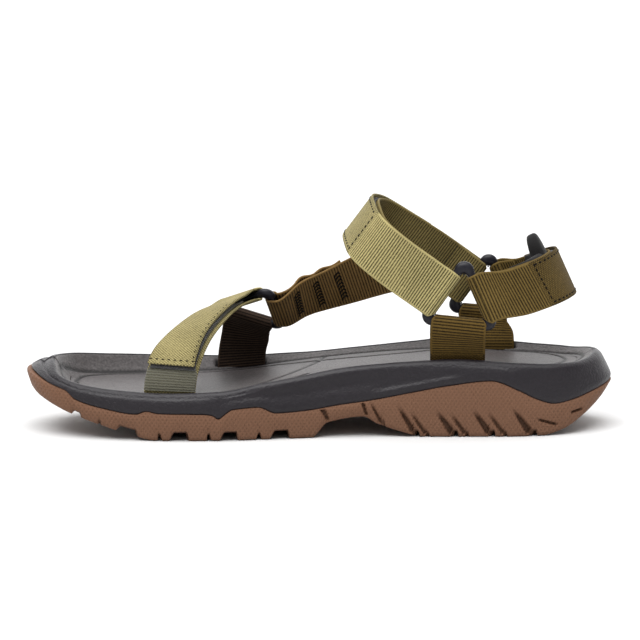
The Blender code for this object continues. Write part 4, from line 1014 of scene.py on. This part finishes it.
def stitches(name, path, spots, finish, side=-1, lift=WEB_THICKNESS / 2, length=None, width=0.85, height=0.6):
    """Stitches as small ellipsoids laid on a strap: spots are (length along, across, heading), the
    heading being 0 along the strap and 90 across it."""
    length = length or bpy.context.scene.sandal_sizes.stitch_length / MM
    spots = np.array(spots, float)
    along = distance(path)
    both = np.hstack(path)
    both = np.column_stack([np.interp(spots[:, 0], along, both[:, k]) for k in range(6)])
    ahead = np.column_stack([np.interp(spots[:, 0] + 0.6, along, path[0][:, k])
                             - np.interp(spots[:, 0] - 0.6, along, path[0][:, k]) for k in range(3)])
    across = unit(both[:, 3:])
    ahead = unit(ahead)
    face = unit(np.cross(ahead, across)) * side
    heading = np.radians(spots[:, 2])[:, None]
    long = ahead * np.cos(heading) + across * np.sin(heading)
    wide = np.cross(face, long)
    centre = both[:, :3] + across * spots[:, 1:2] + face * lift
    polar = np.linspace(0.25, math.pi - 0.25, 5)
    turn = np.linspace(0, 2 * math.pi, 7)[:-1]
    px = np.cos(polar)[:, None] * np.ones(6)
    py = np.sin(polar)[:, None] * np.cos(turn)
    pz = np.sin(polar)[:, None] * np.sin(turn)
    grid = np.stack([px, py, pz], axis=-1).reshape(-1, 3) * (length / 2, width / 2, height / 2)
    points = (centre[:, None] + long[:, None] * grid[None, :, :1] + wide[:, None] * grid[None, :, 1:2]
              + face[:, None] * grid[None, :, 2:])
    quads = grid_quads(5, 6)
    if volume_sign(points[0] - points[0].mean(axis=0), quads) < 0:
        quads = quads[:, ::-1]
        ends = [list(range(6)), list(range(24, 30))[::-1]]
    else:
        ends = [list(range(6))[::-1], list(range(24, 30))]
    shift = np.arange(len(spots))[:, None, None] * 30
    quads = (quads[None] + shift).reshape(-1, 4)
    ends = (np.array(ends)[None] + shift).reshape(-1, 6)
    return make_piece(name, points.reshape(-1, 3), [quads.tolist(), ends.tolist()], finish, smooth=180)


def column(s, low, high, pitch, heading=90.0):
    """Spots of a stitch column across the strap at length s."""
    across = np.arange(low, high + 0.01, pitch)
    return [(s, a, heading) for a in across]


def row_along(a, low, high, pitch, heading=0.0):
    """Spots of a stitch row along the strap at a distance across it."""
    return [(s, a, heading) for s in np.arange(low, high + 0.01, pitch)]


def ring_surface(name, ring, finish):
    """Moulded ring: a round bar along a triangle with arcs at its corners; its radius swells towards
    each corner as a power of the cosine of three times the angle round the ring."""
    sizes = bpy.context.scene.sandal_sizes
    corners, _ = ring_bars(ring)
    centre = np.array(ring["centre"])
    normal = unit(ring["normal"])
    points = []
    fillet = RING_FILLET
    for k in range(3):
        corner = corners[k]
        to_last = unit(corners[k - 1] - corner)
        to_next = unit(corners[(k + 1) % 3] - corner)
        middle = corner + unit(to_last + to_next) * fillet * 2
        first = unit(corner + to_last * fillet * math.sqrt(3) - middle)
        last = unit(corner + to_next * fillet * math.sqrt(3) - middle)
        whole = math.radians(120)
        turn = np.linspace(0, whole, 22)[:, None]
        direction = (np.sin(whole - turn) * first + np.sin(turn) * last) / math.sin(whole)
        points.append(middle + direction * fillet)
    points = np.vstack(points)
    ahead = np.roll(points, -1, axis=0)
    lengths = np.concatenate([[0], np.cumsum(np.linalg.norm(ahead - points, axis=1))])
    closed = np.vstack([points, points[:1]])
    at = np.linspace(0, lengths[-1], 241)[:-1]
    line = np.column_stack([np.interp(at, lengths, closed[:, k]) for k in range(3)])
    forward = unit(np.roll(line, -2, axis=0) - np.roll(line, 2, axis=0))
    out = unit(np.cross(forward, normal))
    out *= np.sign(np.sum(out * (line - centre), axis=1))[:, None]
    near = np.min([np.linalg.norm(line - corner, axis=1) for corner in corners], axis=0)
    swell = ease((7.2 - near) / 5.0)
    turn = np.linspace(0, 2 * math.pi, 25)[:-1]
    across = RING_BAR_RADIUS + sizes.corner_swell / MM * 0.35 * swell
    outward = RING_BAR_RADIUS + sizes.corner_swell / MM * swell
    inward = RING_BAR_RADIUS + 2.3 * ease((7.5 - near) / 5.0)
    radial = np.where(np.cos(turn)[None, :] > 0, outward[:, None], inward[:, None]) * np.cos(turn)[None, :]
    grid = (line[:, None] + out[:, None] * radial[..., None]
            + normal * (across[:, None] * np.sin(turn)[None, :])[..., None])
    return tube(name, grid, finish, ring=True, smooth=180)


def pad_surface(finish):
    """Padded lining: a rounded cushion carried round the heel, thickest behind the heel by the square
    of a sine, with a domed tab over its middle and a soft hollow along its middle line."""
    path = part_of(heel_base(), PAD_START, PAD_END, 0.9)
    along = distance(path) / distance(path)[-1]
    thick = PAD_THICKNESS[0] + (PAD_THICKNESS[1] - PAD_THICKNESS[0]) * np.sin(np.pi * along) ** 2
    tangent = np.gradient(path[0], axis=0)
    face = unit(np.cross(tangent, path[1]))
    up = -unit(path[1])
    aside = np.abs(path[0][:, 1]) / TAB_HALF
    rise = TAB_RISE * np.sqrt(np.clip(1 - aside ** 2, 0, 1)) ** 1.4
    end = np.minimum(1, np.sin(np.pi * np.clip(along, 0.012, 0.988)) * 5)
    angle = np.linspace(0, 2 * math.pi, 49)[:-1]
    high = np.sign(np.sin(angle)) * np.abs(np.sin(angle)) ** 0.6
    deep = 0.5 + 0.5 * np.sign(np.cos(angle)) * np.abs(np.cos(angle)) ** 0.6
    lifted = ease((high - 0.35) / 0.6)
    proud = 1.1 * np.sin(np.pi * along)[:, None] ** 2 * (high > 0)[None, :] * high[None, :]
    reach = high[None, :] * PAD_HALF * end[:, None] + proud + rise[:, None] * lifted[None, :]
    hollow = 1 - 0.16 * np.exp(-(high / 0.35) ** 2) * (deep > 0.5)
    depth = WEB_THICKNESS / 2 + GAP + thick[:, None] * deep[None, :] * hollow[None, :]
    points = path[0][:, None] + face[:, None] * depth[..., None] + up[:, None] * reach[..., None]
    return tube("heel_pad_lining", points, finish, smooth=70)


# ---------------------------------------------------------------- operators
def settle(piece, body="sandal", nodes=(), blend=None):
    """Say what a piece rides on and hide the CAD nodes it replaces; a piece given a blend rides on nothing,
    its transform baked.
    """
    if nodes:
        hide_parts(*nodes)
    if blend:
        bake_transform(piece)
    else:
        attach(piece, body)
    return piece


class SANDAL_OT_stage(bpy.types.Operator):
    """Makes the floor, the soft light and the camera"""
    bl_idname = "sandal.stage"
    bl_label = "Stage"

    def execute(self, context):
        scene = context.scene
        scene.view_settings.view_transform = "Standard"
        floor, _, shader = new_finish("matt_studio_floor", 0.9, Specular_IOR_Level=0.0)
        shader.inputs["Base Color"].default_value = (*FLOOR_GREY, 1)
        wall, _, shader = new_finish("lit_studio_wall", 0.9, Specular_IOR_Level=0.0, Emission_Strength=1.05)
        shader.inputs["Emission Color"].default_value = (1, 1, 1, 1)
        x = np.linspace(-STAGE_HALF, STAGE_HALF, 13)
        for name, finish, line in (("studio_floor", floor, ((-STAGE_HALF, 0), (STAGE_BACK, 0))),
                                   ("studio_wall", wall, ((STAGE_BACK, 0), (STAGE_BACK, STAGE_BACK)))):
            points = np.stack([np.column_stack([x, np.full(13, y), np.full(13, z)]) for y, z in line])
            here = np.arange(12)
            quads = np.column_stack([here, here + 1, here + 14, here + 13])
            make_piece(name, points.reshape(-1, 3), [quads.tolist()], finish)
        world = bpy.data.worlds.new("studio_light")
        world.use_nodes = True
        world.node_tree.nodes["Background"].inputs["Color"].default_value = (1, 1, 1, 1)
        world.node_tree.nodes["Background"].inputs["Strength"].default_value = 0.45
        scene.world = world
        for name, toward, strength, spread in LIGHTS:
            light = bpy.data.lights.new(name, "SUN")
            light.energy = strength
            light.angle = math.radians(spread)
            lamp = bpy.data.objects.new(name, light)
            lamp.rotation_euler = Vector(toward).to_track_quat("Z", "Y").to_euler()
            scene.collection.objects.link(lamp)
        camera = bpy.data.cameras.new("camera")
        camera.lens = CAMERA_LENS
        camera.sensor_width = 36.0
        camera.shift_y = CAMERA_SHIFT
        view = bpy.data.objects.new("camera", camera)
        view.location = CAMERA_PLACE
        view.rotation_euler = (math.radians(CAMERA_TILT), 0, 0)
        scene.collection.objects.link(view)
        scene.camera = view
        return {"FINISHED"}


class SANDAL_OT_sole(bpy.types.Operator):
    """Makes the rubber outsole, the foam midsole and the footbed, and gives the shank its finish"""
    bl_idname = "sandal.sole"
    bl_label = "Sole"

    def execute(self, context):
        tints = context.scene.sandal_colours
        settle(outsole_surface(rubber_finish(tints.rubber)), nodes=["outsole"])
        settle(midsole_surface(foam_finish(tints.foam)), nodes=["midsole"])
        settle(footbed_surface(footbed_finish(tints.footbed)), nodes=["topsole"])
        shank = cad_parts["shank"]
        shank.data.materials.clear()
        shank.data.materials.append(nylon_finish("glass_filled_nylon", tints.nylon))
        return {"FINISHED"}


class SANDAL_OT_rings(bpy.types.Operator):
    """Makes the three moulded triangular rings"""
    bl_idname = "sandal.rings"
    bl_label = "Rings"

    def execute(self, context):
        finish = nylon_finish("moulded_nylon", context.scene.sandal_colours.nylon)
        for name, ring in (("medial_ring", MEDIAL_RING), ("lateral_ring", LATERAL_RING),
                           ("front_ring", FRONT_RING)):
            settle(ring_surface(name + "_moulded", ring, finish), nodes=[name])
        return {"FINISHED"}


class SANDAL_OT_anchors(bpy.types.Operator):
    """Makes the three doubled webbing anchors"""
    bl_idname = "sandal.anchors"
    bl_label = "Anchors"

    def execute(self, context):
        tints = context.scene.sandal_colours
        pitch = context.scene.sandal_sizes.heel_rib_pitch / MM
        brown = webbing("woven_anchor_webbing", tints.anchor_olive)
        dark = webbing("woven_front_webbing", tints.front_brown)
        level_x = (1, 0, 0)
        medial = anchor_path("medial", ring_bars(MEDIAL_RING)[1][1, 2],
                             [((67.2, -30.4, 38.0), level_x), ((66.9, -34.6, 45.0), (1, 0, -0.03))],
                             [((66.9, -31.6, 45.0), (1, 0, -0.03)), ((67.2, -28.6, 38.0), level_x)])
        whole = distance(medial)[-1]
        medial = (medial[0], medial[1] * ANCHOR_SPREAD)
        settle(ribbon("medial_anchor_webbing", medial, brown, pitch, ((whole / 2 - 21, whole / 2 + 21),)),
               nodes=["medial_anchor"])
        lateral = anchor_path("lateral", ring_bars(LATERAL_RING)[1][1, 2],
                              [((87.4, 30.6, 37.0), level_x), ((87.0, 34.0, 42.4), (1, 0, -0.03))],
                              [((87.0, 31.0, 42.4), (1, 0, -0.03)), ((87.4, 28.8, 37.0), level_x)])
        settle(ribbon("lateral_anchor_webbing", lateral, brown, pitch),
               nodes=["lateral_anchor"])
        front = anchor_path("front", ring_bars(FRONT_RING)[1][1, 2],
                            [((-40.6, 45.2, 30.0), (1, 0, 0.05)), ((-39.0, 44.6, 38.0), (1, 0.02, -0.06))],
                            [((-39.2, 41.6, 36.0), (1, 0.02, -0.06)), ((-40.6, 43.6, 29.0), (1, 0, 0.05))])
        settle(ribbon("front_anchor_webbing", front, dark, pitch),
               nodes=["lateral_front_anchor"])
        return {"FINISHED"}


def fold_round(name, bar, last, shift, finish, bodies, pitch):
    """Webbing round the inner half of a ring bar, from inside the ring to its outer side."""
    arc = wrap(bar, 0, last, shift)
    turn = math.radians(last)
    way = math.sin(turn) * bar["normal"] - math.cos(turn) * bar["out"]
    start = bar["middle"] + way * min(0.0, math.cos(turn)) * WRAP_RADIUS
    end = bar["middle"] + way * WRAP_RADIUS
    piece = ribbon(name, arc, finish, pitch)
    return settle(piece, blend=(*bodies, start, end))


class SANDAL_OT_toe_strap(bpy.types.Operator):
    """Makes the toe strap, its flap, its patches and its stitches"""
    bl_idname = "sandal.toe_strap"
    bl_label = "Toe strap"

    def execute(self, context):
        tints = context.scene.sandal_colours
        pitch = context.scene.sandal_sizes.rib_pitch / MM
        cloth = webbing("woven_toe_webbing", tints.light_olive, 1.0)
        thread = thread_finish(tints.thread)
        bar = ring_bars(FRONT_RING)[1][2, 0]
        base = toe_base()
        below = tail("toe", 0)
        whole = join(wrap(bar, 0, TOE_LEAVE), base, (below[0][1:], -below[1][1:]))
        settle(ribbon("toe_strap_webbing", whole, cloth, 1.0, ((-9, 6),)),
               nodes=["toe_strap"])
        loops = offset(part_of(base, TOE_LOOPS_START, distance(base)[-1] - 4), LOOP_PATCH_OFFSET)
        spread = 10.6 + 1.7 * ease((distance(loops) - (TOE_FLAP - TOE_LOOPS_START - 5)) / 5)[:, None]
        settle(ribbon("toe_loop_pile", (loops[0], unit(loops[1]) * spread),
                      pile("knitted_green_pile", tints.patch_green, 1.3),
                      thickness=PATCH_THICKNESS, fuzz=0.12), nodes=["toe_loop_patch"])
        flap = part_of(flap_path(base), 0, TOE_FLAP)
        slim = ease((distance(flap) - 18) / 40)[:, None]
        flap = (flap[0] + unit(flap[1]) * 0.9 * slim, flap[1] * (1 - 0.075 * slim))
        settle(ribbon("toe_flap_webbing", flap, cloth, 1.0, ((-9, 5),)),
               body="toe_flap", nodes=["toe_flap"])
        fold_round("toe_fold_webbing", bar, 120, 0.0, cloth,
                   ("sandal", "toe_flap"), pitch)
        hooks = offset(part_of(base, TOE_LOOPS_START + 8, TOE_FLAP - HOOK_MARGIN), HOOK_PATCH_OFFSET)
        settle(ribbon("toe_hook_tape", narrowed(hooks, PATCH_WIDTH / 2),
                      pile("moulded_toe_hooks", tints.patch_black, 1.3),
                      thickness=PATCH_THICKNESS, fuzz=0.25),
               body="toe_flap", nodes=["toe_hook_patch"])
        spots = column(TOE_FLAP - 2.2, -10.5, 10.5, 3.0)
        spots += row_along(-10.2, 30, TOE_FLAP - 4, 3.2)
        settle(stitches("toe_flap_stitches", flap, spots, thread, length=1.5, width=0.6),
               body="toe_flap")
        return {"FINISHED"}


def flap_pieces(name, base, flap_end, peel, blend, cloth, pitch, ribbed, loops, tints):
    """Flap, loop pile and hook tape of one of the two long adjustable straps."""
    path = part_of(flap_path(base), 0, flap_end)
    settle(ribbon(name + "_flap_webbing", path, cloth, pitch, ribbed),
           nodes=[name + "_flap_root", name + "_flap_tip"], blend=blend)
    pile_path = offset(part_of(base, *loops), LOOP_PATCH_OFFSET)
    settle(ribbon(name + "_loop_pile", narrowed(pile_path, PATCH_WIDTH / 2),
                  pile("knitted_black_pile_" + name, tints.patch_black),
                  thickness=PATCH_THICKNESS, fuzz=0.12),
           nodes=[name + "_loop_patch"])
    hooks = offset(part_of(base, peel + 1, loops[1] - HOOK_MARGIN), HOOK_PATCH_OFFSET)
    settle(ribbon(name + "_hook_tape", narrowed(hooks, PATCH_WIDTH / 2),
                  pile("moulded_hooks_" + name, tints.patch_black, 1.3),
                  thickness=PATCH_THICKNESS, fuzz=0.25),
           nodes=[name + "_hook_patch"], blend=blend)
    return path


class SANDAL_OT_instep_strap(bpy.types.Operator):
    """Makes the instep strap, its flap, its patches and its stitches"""
    bl_idname = "sandal.instep_strap"
    bl_label = "Instep strap"

    def execute(self, context):
        tints = context.scene.sandal_colours
        pitch = context.scene.sandal_sizes.rib_pitch / MM
        cloth = webbing("woven_instep_webbing", tints.light_olive)
        # The base layer takes the darker olive: painted shade on the foot side of the strap.
        inner = webbing("woven_instep_base_webbing_painted_shade", tints.shaded_inner_olive)
        thread = thread_finish(tints.thread)
        bar = ring_bars(MEDIAL_RING)[1][0, 1]
        far = ring_bars(LATERAL_RING)[1][0, 1]
        base = instep_base()
        whole = join(wrap(bar, 0, -90, INSTEP_SHIFT), base, tail_turn(far, base, INSTEP_TAIL))
        settle(ribbon("instep_strap_webbing", whole, inner, pitch),
               nodes=["instep_strap"])
        blend = ("instep_flap_root", "instep_flap_tip", (24.0, -25.0, 98.0), (24.0, -15.0, 98.0))
        path = flap_pieces("instep", base, INSTEP_FLAP, INSTEP_PEEL, blend, cloth, pitch,
                           ((-9, 51),), INSTEP_LOOPS, tints)
        fold_round("instep_fold_webbing", bar, 90, INSTEP_SHIFT, cloth,
                   ("sandal", "instep_flap_root"), pitch)
        inside = column(148.0, -8.0, 8.0, 2.0) + column(150.0, -8.0, 8.0, 2.0)
        settle(stitches("instep_strap_stitches", base, inside, thread, side=1))
        spots = column(52.5, -10.2, 10.2, 2.6, 78.0)
        for a in (-10.4, 10.4):
            spots += row_along(a, 55.0, 132.0, 3.2)
        spots += column(INSTEP_FLAP - 3, -9, 9, 2.8)
        settle(stitches("instep_flap_stitches", path, spots, thread), blend=blend)
        return {"FINISHED"}


class SANDAL_OT_heel_strap(bpy.types.Operator):
    """Makes the heel strap, its flap, its patches and its stitches"""
    bl_idname = "sandal.heel_strap"
    bl_label = "Heel strap"

    def execute(self, context):
        tints = context.scene.sandal_colours
        pitch = context.scene.sandal_sizes.heel_rib_pitch / MM
        cloth = webbing("woven_heel_webbing", tints.heel_olive, 1.0)
        thread = thread_finish(tints.thread)
        bar = ring_bars(MEDIAL_RING)[1][2, 0]
        far = ring_bars(LATERAL_RING)[1][2, 0]
        base = heel_base()
        whole = join(wrap(bar, 0, -90, HEEL_SHIFT), base, tail_turn(far, base, HEEL_TAIL))
        settle(ribbon("heel_strap_webbing", whole, cloth, pitch), nodes=["heel_strap"])
        blend = ("heel_flap_root", "heel_flap_tip", (104.6, -30.6, 73.5), (113.1, -25.3, 74.5))
        path = flap_pieces("heel", base, HEEL_FLAP, HEEL_PEEL, blend, cloth, pitch, ((-9, 31.5),),
                           HEEL_LOOPS, tints)
        fold_round("heel_fold_webbing", bar, 90, HEEL_SHIFT, cloth,
                   ("sandal", "heel_flap_root"), pitch)
        spots = column(33.0, -10.2, 10.2, 2.6)
        for a in (-10.6, 10.6):
            spots += row_along(a, 34.0, 94.0, 3.2)
        spots += column(HEEL_FLAP - 3, -9, 9, 2.8)
        settle(stitches("heel_flap_stitches", path, spots, thread), blend=blend)
        return {"FINISHED"}


class SANDAL_OT_connecting_strap(bpy.types.Operator):
    """Makes the connecting strap with its waves and its three bartacks"""
    bl_idname = "sandal.connecting_strap"
    bl_label = "Connecting strap"

    def execute(self, context):
        tints = context.scene.sandal_colours
        pitch = context.scene.sandal_sizes.heel_rib_pitch / MM
        cloth = webbing("woven_connecting_webbing", tints.dark_olive, 1.2)
        thread = thread_finish(tints.thread)
        bar = ring_bars(FRONT_RING)[1][0, 1]
        base = connecting_base()
        layer = part_of(base, 0, OUTER_LAYER)
        along = distance(layer)
        near = ease(1 - along / TACKS[0])
        ring_side = (2 * WRAP_RADIUS - WEB_THICKNESS - GAP) * near
        gap = TACKS[1] - TACKS[0]
        wave = np.where(along > TACKS[0], WAVE * np.sin(np.pi * (along - TACKS[0]) / gap) ** 2, 0)
        outer = offset(layer, WEB_THICKNESS + GAP + ring_side + wave)
        whole = join(reverse(outer), wrap(bar, 90, -90), base)
        settle(ribbon("connecting_strap_webbing", whole, cloth, pitch),
               nodes=["connecting_strap"])
        for number, where in enumerate(TACKS, 1):
            spots = []
            for across in np.arange(-TACK_HALF + 0.5, TACK_HALF, 2.1):
                spots.append((where - 1.3, across, 64.0))
                spots.append((where + 1.3, across + 1.0, -64.0))
                spots.append((where, across + 1.0, 24.0))
            settle(stitches(f"bartack_thread_{number}", base, spots, thread, side=1,
                            lift=WEB_THICKNESS / 2 + 0.1, length=2.3, width=1.0),
                   nodes=[f"bartack_{number}"])
        return {"FINISHED"}


class SANDAL_OT_heel_pad(bpy.types.Operator):
    """Makes the padded lining behind the heel"""
    bl_idname = "sandal.heel_pad"
    bl_label = "Heel pad"

    def execute(self, context):
        pad = pad_surface(lining_finish(context.scene.sandal_colours.lining))
        settle(pad, nodes=["heel_pad"])
        return {"FINISHED"}


class SANDAL_PT_panel(bpy.types.Panel):
    """Lists the sandal's pieces, sizes and colours"""
    bl_idname = "SANDAL_PT_panel"
    bl_label = "Sport sandal"
    bl_space_type = "VIEW_3D"
    bl_region_type = "UI"
    bl_category = "Sandal"

    def draw(self, context):
        for operator in OPERATORS:
            self.layout.operator(operator.bl_idname)
        for group in (context.scene.sandal_sizes, context.scene.sandal_colours):
            box = self.layout.box()
            for key in group.__annotations__:
                box.prop(group, key)


OPERATORS = (SANDAL_OT_stage, SANDAL_OT_sole, SANDAL_OT_rings, SANDAL_OT_anchors, SANDAL_OT_toe_strap,
             SANDAL_OT_instep_strap, SANDAL_OT_heel_strap, SANDAL_OT_connecting_strap, SANDAL_OT_heel_pad)
CLASSES = (SandalSizes, SandalColours) + OPERATORS + (SANDAL_PT_panel,)


def register():
    """Add the classes and the two groups of properties."""
    for kind in CLASSES:
        bpy.utils.register_class(kind)
    bpy.types.Scene.sandal_sizes = bpy.props.PointerProperty(type=SandalSizes)
    bpy.types.Scene.sandal_colours = bpy.props.PointerProperty(type=SandalColours)


def unregister():
    """Take them away again."""
    del bpy.types.Scene.sandal_colours
    del bpy.types.Scene.sandal_sizes
    for kind in reversed(CLASSES):
        bpy.utils.unregister_class(kind)


def main():
    """Build every piece in order."""
    register()
    for operator in OPERATORS:
        group, name = operator.bl_idname.split(".")
        getattr(getattr(bpy.ops, group), name)()


if __name__ == "__main__":
    main()
